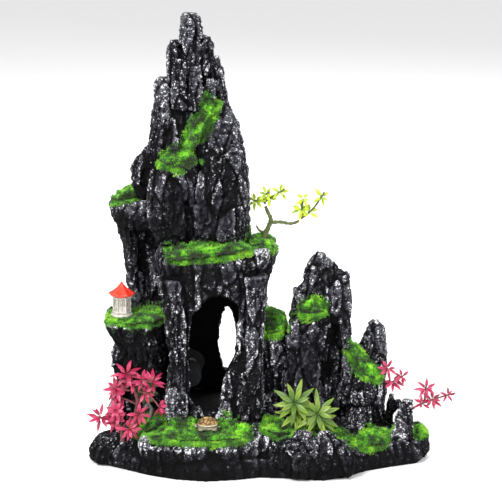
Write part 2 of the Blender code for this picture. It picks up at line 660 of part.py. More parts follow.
def leaf_star(centre, facing, leaves, length, width, start=0.0, sweep=360.0, thick=0.9):
    """One moulded spray: pointed leaflets round a hub, flat across the facing direction."""
    width = min(width, 0.42 * length * math.tan(math.radians(sweep) / leaves / 2) + 0.6)
    points = []
    gap = math.radians(sweep) / leaves
    hub = width * 0.55
    for i in range(leaves):
        t = math.radians(start) + gap * (i + 0.5)
        reach = length * (1 + 0.18 * noise.noise(Vector((i * 1.7, length, leaves))))
        for r, side in ((hub, -0.5 * gap), (reach * 0.55, -width / reach * 0.9), (reach, 0.0),
                        (reach * 0.55, width / reach * 0.9)):
            points.append(Vector((r * math.cos(t + side), r * math.sin(t + side), 0)))
    if sweep < 359:
        points.append(Vector((-hub * math.cos(math.radians(start + sweep / 2)),
                              -hub * math.sin(math.radians(start + sweep / 2)), 0)))
    turn = Vector(facing).to_track_quat("Z", "Y").to_matrix().to_4x4()
    place = Matrix.Translation(Vector(centre)) @ turn
    rings = [[place @ (p + Vector((0, 0, h))) for p in points] for h in (-thick / 2, thick / 2)]
    hubs = [place @ Vector((0, 0, h)) for h in (-thick / 2, thick / 2)]
    return loft("star", rings, hubs)


# Each plant piece: its finish, its stems as (points, thick radius, thin radius), and its sprays as
# (stem, share of the way along it, facing, leaves, length, width, start angle, sweep).
PLANT_PIECES = {
    "red_tree_trunk": ("brown_stem", [
        ([(-81, -27, 24), (-81.5, -27.5, 36), (-80, -28, 46), (-82, -28, 55)], 1.5, 1.0),
        ([(-80.4, -28, 44), (-86, -29, 47), (-90, -30, 49)], 0.8, 0.6),
    ], []),
    "red_tree_crown": ("red_leaf", [
        ([(-82.5, -28, 56.8), (-83, -28, 60), (-87, -28.5, 65)], 0.8, 0.6),
        ([(-82.7, -28, 58), (-77, -29, 61), (-70, -30.5, 60)], 0.7, 0.6),
    ], [
        (0, 1.0, (0.1, -0.8, 0.6), 7, 9.0, 1.9, 0, 360),
        (1, 1.0, (0.0, -0.6, 0.8), 6, 8.0, 1.6, -90, 230),
        (1, 0.5, (0.2, -0.9, 0.4), 5, 6.5, 1.9, 40, 360),
    ]),
    "red_tree_side_spray": ("red_leaf", [
        ([(-83.9, -28.6, 53.8), (-88, -30, 54.5), (-93, -31, 55)], 0.7, 0.6),
    ], [
        (0, 1.0, (-0.3, -0.8, 0.5), 6, 8.0, 2.1, 60, 240),
    ]),
    "red_tree_drooping_spray": ("red_leaf", [
        ([(-79.6, -29.2, 53.5), (-75, -30, 52.5), (-70, -32, 49.5), (-65.5, -33, 44)], 0.7, 0.6),
    ], [
        (0, 0.35, (0.2, -0.8, 0.6), 5, 6.5, 1.7, -150, 250),
    ]),
    "red_bush_stem": ("brown_stem", [
        ([(-90, -33, 20), (-90, -33.5, 28), (-91, -34, 32)], 1.4, 1.0),
        ([(-90.6, -34, 31), (-95, -34.5, 34), (-99, -35, 35.5)], 0.7, 0.6),
        ([(-90.4, -34, 30), (-86, -34.5, 34), (-83, -35, 37)], 0.7, 0.6),
    ], []),
    "red_bush_flower": ("red_leaf", [
        ([(-91.6, -34.2, 34.2), (-93, -34.5, 37), (-94, -35, 42)], 0.7, 0.6),
    ], [
        (0, 1.0, (-0.1, -0.9, 0.4), 8, 6.0, 1.6, 0, 360),
    ]),
    "red_bush_left_spray": ("red_leaf", [
        ([(-100.6, -35.2, 36.2), (-104, -35.5, 37.5), (-110, -36, 39)], 0.6, 0.5),
    ], [
        (0, 0.5, (0.1, -0.7, 0.7), 6, 7.5, 1.7, 60, 300),
    ]),
    "red_bush_right_spray": ("red_leaf", [
        ([(-81.6, -35.4, 38.4), (-79, -35.6, 39.6)], 0.6, 0.5),
    ], [
        (0, 1.0, (0.1, -0.9, 0.4), 6, 7.0, 1.7, -200, 300),
    ]),
    "red_bush_low_spray": ("red_leaf", [
        ([(-88.6, -36.2, 30.0), (-85, -37.6, 30.2)], 0.6, 0.5),
    ], [
        (0, 1.0, (0.1, -0.9, 0.4), 6, 7.0, 1.7, -200, 280),
    ]),
    "pink_twig_spire": ("red_leaf", [
        ([(82.0, -9, 51.5), (87.5, -11.5, 54), (92, -12.5, 56), (97.5, -13, 60.5)], 0.8, 0.5),
        ([(87.2, -11.3, 53.8), (87, -12.8, 59), (85.5, -13.5, 64)], 0.6, 0.5),
    ], [
        (0, 0.5, (0.1, -0.8, 0.6), 6, 6.0, 1.7, 150, 260),
        (1, 1.0, (0.1, -0.8, 0.6), 6, 5.5, 1.6, 30, 330),
        (0, 0.85, (0.2, -0.8, 0.6), 4, 5.0, 1.5, 0, 300),
    ]),
    "pink_twig_fang": ("red_leaf", [
        ([(101, -7.5, 33), (106, -9, 37), (112, -10, 40), (120, -10.5, 43), (131, -11, 46.5)], 0.8, 0.5),
        ([(111, -10, 39.6), (111, -10.5, 46), (111.5, -11, 52)], 0.6, 0.5),
    ], [
        (1, 0.8, (0.0, -0.8, 0.6), 6, 6.0, 1.6, 10, 340),
        (0, 0.68, (0.1, -0.8, 0.6), 6, 6.0, 1.5, 20, 330),
        (0, 0.9, (0.1, -0.8, 0.6), 4, 4.5, 1.3, 45, 360),
    ]),
    "green_plant_left": ("green_leaf", [
        ([(27, -30, 22), (26, -33, 34), (23.5, -37, 48)], 1.2, 0.9),
    ], [
        (0, 1.0, (0.0, -0.9, 0.45), 9, 13.0, 2.7, 10, 360),
        (0, 0.7, (0.2, -0.9, 0.3), 5, 11.0, 2.5, -170, 200),
    ]),
    "green_plant_right": ("green_leaf", [
        ([(41, -31, 20), (40, -34, 30), (38.5, -38, 41)], 1.2, 0.9),
    ], [
        (0, 1.0, (0.05, -0.9, 0.45), 9, 13.5, 2.7, 30, 360),
        (0, 0.75, (0.4, -0.8, 0.4), 6, 10.5, 2.4, -70, 220),
    ]),
    "shelf_tree_trunk": ("green_stem", [
        ([(4, 0, 141), (4, 0, 152), (6, -0.5, 157), (8, -1, 162.5), (6, -1.5, 168), (4.5, -2, 172)], 2.1, 1.0),
        ([(7.4, -1, 161), (14, -1.5, 161.3), (21, -2, 160.5), (26.5, -2.5, 162.3)], 1.3, 0.9),
    ], []),
    "shelf_tree_left_spray": ("green_leaf", [
        ([(4.2, -2, 173.8), (3, -2.5, 178.5), (7, -3, 182)], 0.7, 0.6),
        ([(4.0, -2.2, 175.2), (-2, -3, 176), (-7, -3.5, 178)], 0.7, 0.6),
        ([(4.0, -2.2, 175.0), (10, -3, 179.5), (17, -3.5, 184)], 0.7, 0.6),
    ], [
        (1, 0.6, (-0.1, -0.8, 0.6), 5, 5.5, 1.7, 90, 300),
        (0, 0.7, (0.1, -0.8, 0.6), 4, 4.5, 1.6, 20, 300),
        (2, 0.75, (0.1, -0.8, 0.6), 4, 5.5, 1.7, 45, 360),
    ]),
    "shelf_tree_right_spray": ("green_leaf", [
        ([(27.7, -2.7, 163.9), (33, -3, 168), (38, -3.5, 174), (43, -4, 182)], 0.7, 0.6),
        ([(28.6, -2.8, 164.6), (28.2, -3, 170), (29, -3.5, 177)], 0.7, 0.6),
    ], [
        (1, 0.6, (0.0, -0.8, 0.6), 6, 6.5, 1.8, 10, 330),
        (0, 0.35, (0.1, -0.8, 0.6), 5, 6.0, 1.8, -60, 280),
        (0, 0.8, (0.1, -0.8, 0.6), 4, 5.5, 1.7, 0, 330),
    ]),
    "relief_bonsai_trunk": ("brown_stem", [
        ([(-73, -19, 30), (-71, -19, 37), (-73.5, -18, 42), (-72, -17.5, 47)], 1.5, 0.9),
        ([(-73, -18, 41.5), (-76, -18, 45)], 0.8, 0.6),
    ], []),
    "relief_bonsai_crown": ("dark_green_leaf", [
        ([(-73, -18.6, 48.8), (-74.5, -19.4, 52)], 0.9, 0.8),
    ], [
        (0, 1.0, (0.0, -0.9, 0.4), 9, 8.0, 2.0, 0, 360),
    ]),
}


def make_plant_piece(name):
    """One moulded plant piece: its stems, and its sprays threaded on them."""
    finish_name, stems, sprays = PLANT_PIECES[name]
    pieces = [stem(*s) for s in stems]
    for index, share, *shape in sprays:
        route = smooth_route([Vector(p) for p in stems[index][0]], STEM_STEPS)
        pieces.append(leaf_star(route[round(share * (len(route) - 1))], *shape))
    return finish(join(name, pieces), finish_name)


def planting_hole(name):
    """The hole that a plant's first stem stands in."""
    foot, second = [Vector(p) for p in PLANT_PIECES[name][1][0][0][:2]]
    radius = PLANT_PIECES[name][1][0][1] + PLANTING_GAP
    along = (second - foot).normalized()
    length = (second - foot).length + 2.0
    hole = primitive_cylinder(radius, length, (0, 0, length / 2 - 1.0), sides=10)
    turn = along.to_track_quat("Z", "Y").to_matrix().to_4x4()
    hole.data.transform(Matrix.Translation(foot) @ turn)
    return hole


# ---------------------------------------------------------------- the air stone cartridge


def on_axis(y):
    return (CARTRIDGE_X, y, CARTRIDGE_Z)


def make_cartridge():
    """A rubber stopper that carries a hose barb outside and an air stone on a silicone sleeve inside."""
    stopper = turned("rear_stopper", [
        (8.6, 22.6), (9.1, 31.6), (11.5, 31.7), (11.5, 34.2), (10.8, 34.8),
    ], on_axis(0), 24, "Y")
    stopper = carve(stopper, [primitive_cylinder(3.1, 30, on_axis(28), "Y", 16)])
    barb = turned("air_inlet_barb", [
        (2.0, 15.5), (2.6, 16.6), (2.2, 18.2), (2.2, 20.2), (2.7, 20.3), (2.7, 35.1), (4.8, 35.2), (4.8, 36.6),
        (2.0, 36.7), (2.0, 39.0), (2.6, 39.3), (2.0, 41.2), (2.0, 41.6), (2.6, 41.9), (1.9, 44.2), (1.7, 44.6),
    ], on_axis(0), 12, "Y")
    barb = carve(barb, [primitive_cylinder(1.1, 40, on_axis(30), "Y", 12)])
    sleeve = turned("coupling_sleeve", [(4.0, 8.6), (4.0, 19.8)], on_axis(0), 16, "Y")
    sleeve = carve(sleeve, [primitive_cylinder(3.0, 20, on_axis(14), "Y", 16)])
    nipple = turned("stone_nipple", [
        (3.6, 4.6), (3.6, 6.2), (2.1, 6.3), (2.1, 10.5), (2.6, 11.0), (2.1, 13.2), (1.9, 13.6),
    ], on_axis(0), 16, "Y")
    nipple = carve(nipple, [primitive_cylinder(1.0, 30, on_axis(8), "Y", 12)])
    stone = turned("air_stone", [
        (6.4, -13.0), (7.4, -12.0), (7.4, 3.2), (6.4, 4.2),
    ], on_axis(0), 24, "Y")
    return [
        finish(stopper, "black_rubber"), finish(barb, "clear_plastic"), finish(sleeve, "clear_plastic"),
        finish(nipple, "clear_plastic"), finish(stone, "mineral"),
    ]


# ---------------------------------------------------------------- the whole object


# The small ornaments' standing places: centre and radius.
STANDING_PLACES = [(TURTLE, 9.6), (Vector((PAVILION_X, PAVILION_Y, PAVILION_Z)), 8.2)]

# The plant pieces whose first stem stands in moss or rock.
PLANTED = [
    "red_tree_trunk", "red_bush_stem", "pink_twig_spire", "pink_twig_fang", "green_plant_left",
    "green_plant_right", "shelf_tree_trunk", "relief_bonsai_trunk",
]


def boxes_meet(a, b, margin=1.0):
    return all(
        extent(a, axis)[0] - margin < extent(b, axis)[1] and extent(b, axis)[0] - margin < extent(a, axis)[1]
        for axis in range(3)
    )


def extent(obj, axis):
    values = [v.co[axis] for v in obj.data.vertices]
    return min(values), max(values)


def cut_where_met(obj, cutters):
    """Carves an object with those of the cutters that reach it, and removes the others."""
    met = [cutter for cutter in cutters if boxes_meet(obj, cutter)]
    for cutter in cutters:
        if cutter not in met:
            bpy.data.objects.remove(cutter, do_unlink=True)
    return carve(obj, met)


def clearings():
    """What the moss and the rocks leave room for: ornaments and plant stems."""
    places = [standing_place(centre, radius) for centre, radius in STANDING_PLACES]
    return places + [planting_hole(name) for name in PLANTED]


def make_ornament():
    finish(make_base_with_clearings(), "rock", 25)
    for name in ROCKS:
        finish(cut_where_met(make_rock(name), clearings() + moss_seats()), "rock", 25)
    for name in MOSS_PADS:
        finish(cut_where_met(moss_pad(name), clearings()), "moss", 60)
    for name in PLANT_PIECES:
        make_plant_piece(name)
    make_pavilion()
    make_turtle()
    make_cartridge()
    for obj in PARTS.objects:
        obj.data.transform(Matrix.Scale(MM, 4))


def make_base_with_clearings():
    return cut_where_met(make_base(), clearings() + moss_seats())


def moss_seats():
    return [moss_pad(name, SEAT_GAP) for name in MOSS_PADS]


clear_scene()
PARTS = collection("bubbling_ornament")
make_ornament()
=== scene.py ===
"""The looks of the bubbling rockery: castings, flocked moss, plants, pavilion, turtle and air stone.

Sizes and places are in millimetres, in the part's own frame: origin on the underside of the base, +Z up,
front towards -Y. The places array of a mesh is in millimetres, and the mesh itself is in metres.
"""

import math
from itertools import product

import bpy
import numpy as np
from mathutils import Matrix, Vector, kdtree


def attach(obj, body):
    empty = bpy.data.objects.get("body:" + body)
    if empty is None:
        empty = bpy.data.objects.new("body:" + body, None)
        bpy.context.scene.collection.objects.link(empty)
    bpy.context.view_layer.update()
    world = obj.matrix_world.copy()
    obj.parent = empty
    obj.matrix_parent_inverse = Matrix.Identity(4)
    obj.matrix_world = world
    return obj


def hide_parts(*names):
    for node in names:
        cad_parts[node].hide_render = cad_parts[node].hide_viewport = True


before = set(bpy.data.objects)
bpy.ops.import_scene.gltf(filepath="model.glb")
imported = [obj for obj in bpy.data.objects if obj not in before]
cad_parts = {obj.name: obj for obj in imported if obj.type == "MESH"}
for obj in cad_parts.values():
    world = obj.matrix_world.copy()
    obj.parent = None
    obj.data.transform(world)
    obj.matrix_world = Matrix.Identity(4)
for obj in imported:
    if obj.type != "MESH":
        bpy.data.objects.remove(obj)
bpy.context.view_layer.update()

MM = 0.001
TINY = 1e-9
BODY = "ornament"
CARTRIDGE_BODY = "cartridge"

NODES = sorted(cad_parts)
ROCK_NODES = [name for name in NODES if name.endswith("_rock") or name == "front_boulder"]
MOSS_NODES = [name for name in NODES if name.startswith("moss_")]


def node_box(name):
    """The lowest and the highest corner of a CAD node, to a hundredth of a millimetre."""
    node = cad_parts[name]
    corners = np.array([node.matrix_world @ v.co for v in node.data.vertices]) / MM
    return corners.min(axis=0).round(2), corners.max(axis=0).round(2)


STOPPER_LOW, STOPPER_HIGH = node_box("rear_stopper")
STOPPER_X, _, STOPPER_Z = ((STOPPER_LOW + STOPPER_HIGH) / 2).round(2)
PLINTH_LOW, PLINTH_HIGH = node_box("pavilion_plinth")
# The middle of the pavilion's underside.
PAVILION = np.array((*((PLINTH_LOW + PLINTH_HIGH) / 2).round(2)[:2], PLINTH_LOW[2]))


# ---------------- noise, for whole arrays of points


# Large primes that scatter neighbouring places, and the largest 32-bit number.
PRIME_X, PRIME_Y, PRIME_Z, PRIME_SEED, PRIME_SCATTER = 73856093, 19349663, 83492791, 15485863, 1274126177
LARGEST = 0xFFFFFFFF
# Brings the sum of the layers back to about -1 to 1.
LAYERS_SHARE = 1.6
# A squared distance in cells that is farther than any centre looked at.
FAR_CELLS = 9.0


def lattice_value(x, y, z, seed):
    """A repeatable number from 0 to 1 for each whole-number place."""
    scattered = (x * PRIME_X) ^ (y * PRIME_Y) ^ (z * PRIME_Z) ^ (seed * PRIME_SEED)
    scattered = scattered & LARGEST
    scattered = ((scattered ^ (scattered >> 13)) * PRIME_SCATTER) & LARGEST
    return (scattered ^ (scattered >> 16)) / LARGEST


def noise_at(points, size, seed=0):
    """Smooth noise from -1 to 1. The size is one number, or one for each axis."""
    scaled = points / np.array(size, dtype=float)
    cell = np.floor(scaled).astype(np.int64)
    part = scaled - cell
    part = part * part * (3 - 2 * part)
    total = np.zeros(len(points))
    for corner in range(8):
        step = (corner & 1, corner >> 1 & 1, corner >> 2)
        weight = np.ones(len(points))
        for axis in range(3):
            weight = weight * (part[:, axis] if step[axis] else 1 - part[:, axis])
        total += weight * lattice_value(*(cell[:, axis] + step[axis] for axis in range(3)), seed)
    return total * 2 - 1


def layered_noise(points, size, layers=3, seed=0):
    """Noise whose layers are each half as large and half as strong as the one before."""
    size = np.array(size, dtype=float)
    return sum(noise_at(points, size / 2 ** k, seed + k) / 2 ** k for k in range(layers)) / LAYERS_SHARE


def blocks_at(points, size, seed=0):
    """Broken-stone cells: each point's cell value from 0 to 1, and its distance from the cell's edge."""
    scaled = points / np.array(size, dtype=float)
    cell = np.floor(scaled).astype(np.int64)
    nearest = np.full(len(points), FAR_CELLS)
    second = np.full(len(points), FAR_CELLS)
    value = np.zeros(len(points))
    for step in product((-1, 0, 1), repeat=3):
        place = cell + step
        x, y, z = place.T
        away = sum((place[:, k] + lattice_value(x, y, z, seed + k) - scaled[:, k]) ** 2 for k in range(3))
        closer = away < nearest
        second = np.where(closer, nearest, np.minimum(second, away))
        value = np.where(closer, lattice_value(x, y, z, seed + 3), value)
        nearest = np.where(closer, away, nearest)
    return value, np.sqrt(second) - np.sqrt(nearest)


def fade(values, low, high):
    """0 below low, 1 above high, and smooth between."""
    share = np.clip((values - low) / (high - low), 0, 1)
    return share * share * (3 - 2 * share)


# ---------------- meshes


def link(thing):
    bpy.context.scene.collection.objects.link(thing)


def store(name, mesh, node_names, body=BODY):
    """Makes a piece from a mesh in metres, hides the CAD nodes that it stands for, and attaches it to the
    body that it moves with.
    """
    piece = bpy.data.objects.new(name, mesh)
    link(piece)
    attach(piece, body)
    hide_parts(*node_names)
    return piece


def remeshed(node, voxel):
    """A CAD node's solid as an even quad mesh in metres, with the node's own mesh untouched."""
    source = bpy.data.objects.new("source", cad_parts[node].data.copy())
    link(source)
    modifier = source.modifiers.new("even", "REMESH")
    modifier.mode = "VOXEL"
    modifier.voxel_size = voxel * MM
    modifier.use_smooth_shade = True
    graph = bpy.context.evaluated_depsgraph_get()
    mesh = bpy.data.meshes.new_from_object(source.evaluated_get(graph))
    bpy.data.objects.remove(source, do_unlink=True)
    mesh.materials.clear()
    return mesh


def vectors(mesh, key):
    values = np.empty(len(mesh.vertices) * 3)
    mesh.vertices.foreach_get(key, values)
    return values.reshape(-1, 3)


def places(mesh):
    """Where the mesh's vertices are, in millimetres."""
    return vectors(mesh, "co") / MM


def normals(mesh):
    return vectors(mesh, "normal")


def move_to(mesh, points):
    mesh.vertices.foreach_set("co", (points * MM).ravel())
    mesh.update()


def push_out(mesh, points, by):
    """Puts the vertices at the points, and then moves each along its normal."""
    move_to(mesh, points)
    move_to(mesh, points + normals(mesh) * by[:, None])


def edge_ends(mesh):
    """The two vertex numbers of each edge."""
    ends = np.empty(len(mesh.edges) * 2, dtype=np.int64)
    mesh.edges.foreach_get("vertices", ends)
    return ends.reshape(-1, 2)


def averaged(points, ends, times):
    """The points after each has moved to the middle of its neighbours, so many times."""
    count = len(points)
    a, b = ends[:, 0], ends[:, 1]
    shared = np.bincount(a, minlength=count) + np.bincount(b, minlength=count)
    shared = np.maximum(shared, 1)
    for _ in range(times):
        columns = []
        for axis in range(points.shape[1]):
            value = points[:, axis]
            total = np.bincount(a, value[b], count) + np.bincount(b, value[a], count)
            columns.append(total / shared)
        points = 0.5 * points + 0.5 * np.stack(columns, axis=1)
    return points


def attribute(mesh, name, values):
    """Stores one number for each vertex, which a material reads by name."""
    made = mesh.attributes.new(name, "FLOAT", "POINT")
    made.data.foreach_set("value", np.asarray(values, dtype=np.float32))


def mesh_from(name, vertices, faces):
    """A smooth-shaded mesh from millimetre points."""
    mesh = bpy.data.meshes.new(name)
    mesh.from_pydata([tuple(v) for v in np.asarray(vertices, dtype=float) * MM], [], faces)
    mesh.update()
    mesh.shade_smooth()
    return mesh


# ---------------- materials


def new_material(name, roughness=0.8, specular=0.3):
    """A material, its node tree and its shader."""
    made = bpy.data.materials.new(name)
    made.use_nodes = True
    shader = made.node_tree.nodes["Principled BSDF"]
    shader.inputs["Roughness"].default_value = roughness
    shader.inputs["Specular IOR Level"].default_value = specular
    return made, made.node_tree, shader


def read_attribute(tree, name):
    node = tree.nodes.new("ShaderNodeAttribute")
    node.attribute_name = name
    return node.outputs["Fac"]


def texture_noise(tree, scale, detail=4.0, roughness=0.6, stretch=(1, 1, 1)):
    """Noise in object space, whose scale is in features per metre."""
    coordinates = tree.nodes.new("ShaderNodeTexCoord")
    mapping = tree.nodes.new("ShaderNodeMapping")
    mapping.inputs["Scale"].default_value = stretch
    node = tree.nodes.new("ShaderNodeTexNoise")
    node.inputs["Scale"].default_value = scale
    node.inputs["Detail"].default_value = detail
    node.inputs["Roughness"].default_value = roughness
    tree.links.new(coordinates.outputs["Object"], mapping.inputs["Vector"])
    tree.links.new(mapping.outputs["Vector"], node.inputs["Vector"])
    return node.outputs["Fac"]


def sum_of(tree, terms):
    """The sum of sockets, each multiplied by a number, as a socket."""
    total = None
    for socket, factor in terms:
        scaled = tree.nodes.new("ShaderNodeMath")
        scaled.operation = "MULTIPLY_ADD"
        tree.links.new(socket, scaled.inputs[0])
        scaled.inputs[1].default_value = factor
        if total is None:
            scaled.inputs[2].default_value = 0.0
        else:
            tree.links.new(total, scaled.inputs[2])
        total = scaled.outputs[0]
    return total


def ramp(tree, socket, stops):
    """A colour ramp over (place, colour) stops."""
    node = tree.nodes.new("ShaderNodeValToRGB")
    elements = node.color_ramp.elements
    while len(elements) < len(stops):
        elements.new(0.5)
    for element, (place, colour) in zip(elements, stops):
        element.position = place
        element.color = (*colour, 1.0) if len(colour) == 3 else colour
    tree.links.new(socket, node.inputs["Fac"])
    return node.outputs["Color"]


def grey(value):
    return (value, value, value)


def mixed(tree, factor, first, second):
    """Mixes two colours, each a socket or an RGB value, by a socket."""
    node = tree.nodes.new("ShaderNodeMix")
    node.data_type = "RGBA"
    tree.links.new(factor, node.inputs["Factor"])
    for value, slot in ((first, "A"), (second, "B")):
        target = [s for s in node.inputs if s.name == slot and s.type == "RGBA"][0]
        if isinstance(value, tuple):
            target.default_value = (*value, 1.0)
        else:
            tree.links.new(value, target)
    return [s for s in node.outputs if s.type == "RGBA"][0]


def bump(tree, shader, height, distance, strength=0.6):
    """Fine relief, whose distance is in metres."""
    node = tree.nodes.new("ShaderNodeBump")
    node.inputs["Strength"].default_value = strength
    node.inputs["Distance"].default_value = distance
    tree.links.new(height, node.inputs["Height"])
    tree.links.new(node.outputs["Normal"], shader.inputs["Normal"])


def rock_material():
    """Charcoal resin: black where the dry brush misses it, dry-brushed on its ridges, dusted with moss, and
    with painted shade in its hollows, under overhangs and inside the cave.
    """
    made, tree, shader = new_material("weathered_rock", specular=0.10)
    brush, depth = read_attribute(tree, "brush"), read_attribute(tree, "depth")
    grain = texture_noise(tree, 420, 6, 0.85, (1, 1, 0.7))
    speckle = texture_noise(tree, 850, 2, 0.6)
    # The body is the black base coat with painted shade: darker in hollows, under overhangs, low down and
    # inside the cave.
    body = ramp(tree, sum_of(tree, [(depth, 0.65), (grain, 0.6)]), [
        (0.42, (0.0004, 0.0004, 0.0006)), (0.58, (0.0018, 0.0018, 0.0026)),
        (0.72, (0.008, 0.008, 0.011)), (0.95, (0.055, 0.055, 0.066)),
    ])
    painted = sum_of(tree, [(brush, 0.42), (speckle, 0.85), (grain, 0.25)])
    grey_brush = ramp(tree, painted, [(0.84, grey(0.0)), (0.94, grey(0.70))])
    white_brush = ramp(tree, painted, [(0.95, grey(0.0)), (0.99, grey(0.95))])
    colour = mixed(tree, grey_brush, body, (0.12, 0.12, 0.135))
    colour = mixed(tree, white_brush, colour, (0.66, 0.66, 0.68))
    dusted = sum_of(tree, [(read_attribute(tree, "dust"), 0.8), (speckle, 0.4), (grain, 0.3)])
    dust = ramp(tree, dusted, [(0.72, grey(0.0)), (0.85, grey(0.95))])
    greens = ramp(tree, speckle, [(0.35, (0.018, 0.07, 0.004)), (0.65, (0.11, 0.30, 0.012))])
    colour = mixed(tree, dust, colour, greens)
    tree.links.new(colour, shader.inputs["Base Color"])
    gloss = ramp(tree, grain, [(0.3, grey(0.55)), (0.8, grey(0.9))])
    tree.links.new(gloss, shader.inputs["Roughness"])
    bump(tree, shader, sum_of(tree, [(grain, 1.0), (speckle, 0.5)]), 0.0008, 0.8)
    return made


def moss_material():
    """Flocked moss: painted shade between the fibres, vivid green above, with yellow-green patches."""
    made, tree, shader = new_material("flocked_moss", 0.9, 0.15)
    shade, patches = read_attribute(tree, "shade"), texture_noise(tree, 110, 3, 0.7)
    speckle = texture_noise(tree, 1800, 2)
    # The shade attribute is painted shade at the fibres' roots and between clumps, with a random tone.
    colour = ramp(tree, sum_of(tree, [(shade, 0.30), (patches, 1.3), (speckle, 0.1)]), [
        (0.62, (0.012, 0.020, 0.004)), (0.74, (0.022, 0.095, 0.005)), (0.84, (0.070, 0.310, 0.006)),
        (0.94, (0.160, 0.600, 0.012)), (1.0, (0.420, 0.780, 0.040)),
    ])
    tree.links.new(colour, shader.inputs["Base Color"])
    shader.inputs["Sheen Weight"].default_value = 0.2
    bump(tree, shader, speckle, 0.0006, 0.6)
    return made


def leaf_material(name, dark, middle, light, rib, roughness=0.38):
    """A moulded leaf: its colour runs from its foot to its tip, with a darker midrib and fine mottling."""
    made, tree, shader = new_material(name, roughness, 0.5)
    along, across = read_attribute(tree, "along"), read_attribute(tree, "across")
    each = read_attribute(tree, "each")
    mottle = texture_noise(tree, 900, 3)
    colour = ramp(tree, sum_of(tree, [(along, 0.45), (each, 0.45), (mottle, 0.25)]), [
        (0.20, dark), (0.55, middle), (0.95, light),
    ])
    midrib = ramp(tree, across, [(0.0, grey(0.8)), (0.22, grey(0.0))])
    colour = mixed(tree, midrib, colour, rib)
    tree.links.new(colour, shader.inputs["Base Color"])
    shader.inputs["Subsurface Weight"].default_value = 0.08
    shader.inputs["Subsurface Scale"].default_value = 0.001
    bump(tree, shader, sum_of(tree, [(mottle, 0.7), (midrib, -0.8)]), 0.0003, 0.5)
    return made


def painted_material(name, stops, scale, roughness, depth=0.0003, stretch=(1, 1, 1)):
    """Painted or moulded resin, whose colour runs through the stops with noise."""
    made, tree, shader = new_material(name, roughness, 0.4)
    mottle = texture_noise(tree, scale, 4, 0.6, stretch)
    tree.links.new(ramp(tree, mottle, stops), shader.inputs["Base Color"])
    bump(tree, shader, mottle, depth, 0.6)
    return made


def bark_material(name, dark, light, roughness=0.65, depth=0.0005):
    """Moulded bark, whose grain runs up the stem."""
    return painted_material(name, [(0.3, dark), (0.7, light)], 900, roughness, depth, (1, 1, 0.3))


ROCK = rock_material()
MOSS = moss_material()
OLIVE_BARK = bark_material("olive_bark", (0.03, 0.045, 0.012), (0.11, 0.13, 0.035))
# The bark and the leaves of each kind of plant.
RED = (
    bark_material("red_bark", (0.07, 0.018, 0.018), (0.20, 0.05, 0.05), 0.6, 0.0004),
    leaf_material("red_leaf", (0.12, 0.0016, 0.015), (0.32, 0.0041, 0.046), (0.53, 0.037, 0.13),
                  (0.11, 0.0016, 0.014)),
)
LIME = (OLIVE_BARK, leaf_material(
    "lime_leaf", (0.14, 0.24, 0.008), (0.34, 0.48, 0.014), (0.56, 0.66, 0.030), (0.14, 0.22, 0.01)))
GREEN = (OLIVE_BARK, leaf_material(
    "green_leaf", (0.018, 0.058, 0.003), (0.088, 0.17, 0.006), (0.20, 0.29, 0.018), (0.031, 0.085, 0.005)))
RELIEF = (
    bark_material("grey_bark", (0.05, 0.04, 0.035), (0.30, 0.27, 0.24), 0.7),
    leaf_material("relief_leaf", (0.006, 0.03, 0.006), (0.02, 0.075, 0.02), (0.10, 0.17, 0.06),
                  (0.01, 0.03, 0.01), 0.7),
)


# ---------------- rock castings


# Each casting's grid size, and how strongly it is broken up.
ROCK_LOOKS = {
    "main_peak_rock": (0.75, 1.0), "cave_rock": (0.85, 0.85), "base_rock": (1.0, 0.55),
    "left_ledge_rock": (0.8, 1.0), "left_pillar_rock": (0.85, 0.9), "saddle_rock": (0.85, 0.9),
    "right_peak_rock": (0.8, 1.0), "right_spire_rock": (0.7, 0.9), "front_boulder": (0.75, 0.9),
    "toe_rock": (0.75, 0.8), "fang_rock": (0.6, 0.7), "arch_horn_rock": (0.55, 0.5),
    "far_right_rock": (0.6, 0.7),
}
# How far every casting swells, to close the glue gaps between them, and the least height of its underside.
SEAM_COVER, LOWEST = 0.35, 0.05

# The sizes of each kind of break-up along x, y and z, taller than wide, and how far it moves the surface.
BEND_SIZE, BEND_REACH = (13, 13, 20), (4.0, 4.0, 6.0)
RELIEF_SIZE, RELIEF_DEPTH = (15, 15, 24), 2.3
COLUMN_SIZE, COLUMN_DEPTH, COLUMN_GROOVE, COLUMN_GROOVE_SHARE = (9.0, 9.0, 30.0), 2.2, 1.1, 0.11
CHIP_SIZE, CHIP_DEPTH, CHIP_GROOVE, CHIP_GROOVE_SHARE = (4.4, 4.4, 7.5), 1.5, 0.45, 0.12
KNOB_SIZE, KNOB_DEPTH, KNOB_ROUNDING = (1.8, 1.8, 2.4), 0.6, 0.7
GRIT_SIZE, GRIT_DEPTH = (4.0, 4.0, 6.0), 0.7
PIT_SIZE, PIT_DEPTH = (2.9, 2.9, 3.4), 1.4


def groove(edge, width):
    """1 on the edge between two cells, and less away from it."""
    return np.exp(-(edge / width) ** 2)


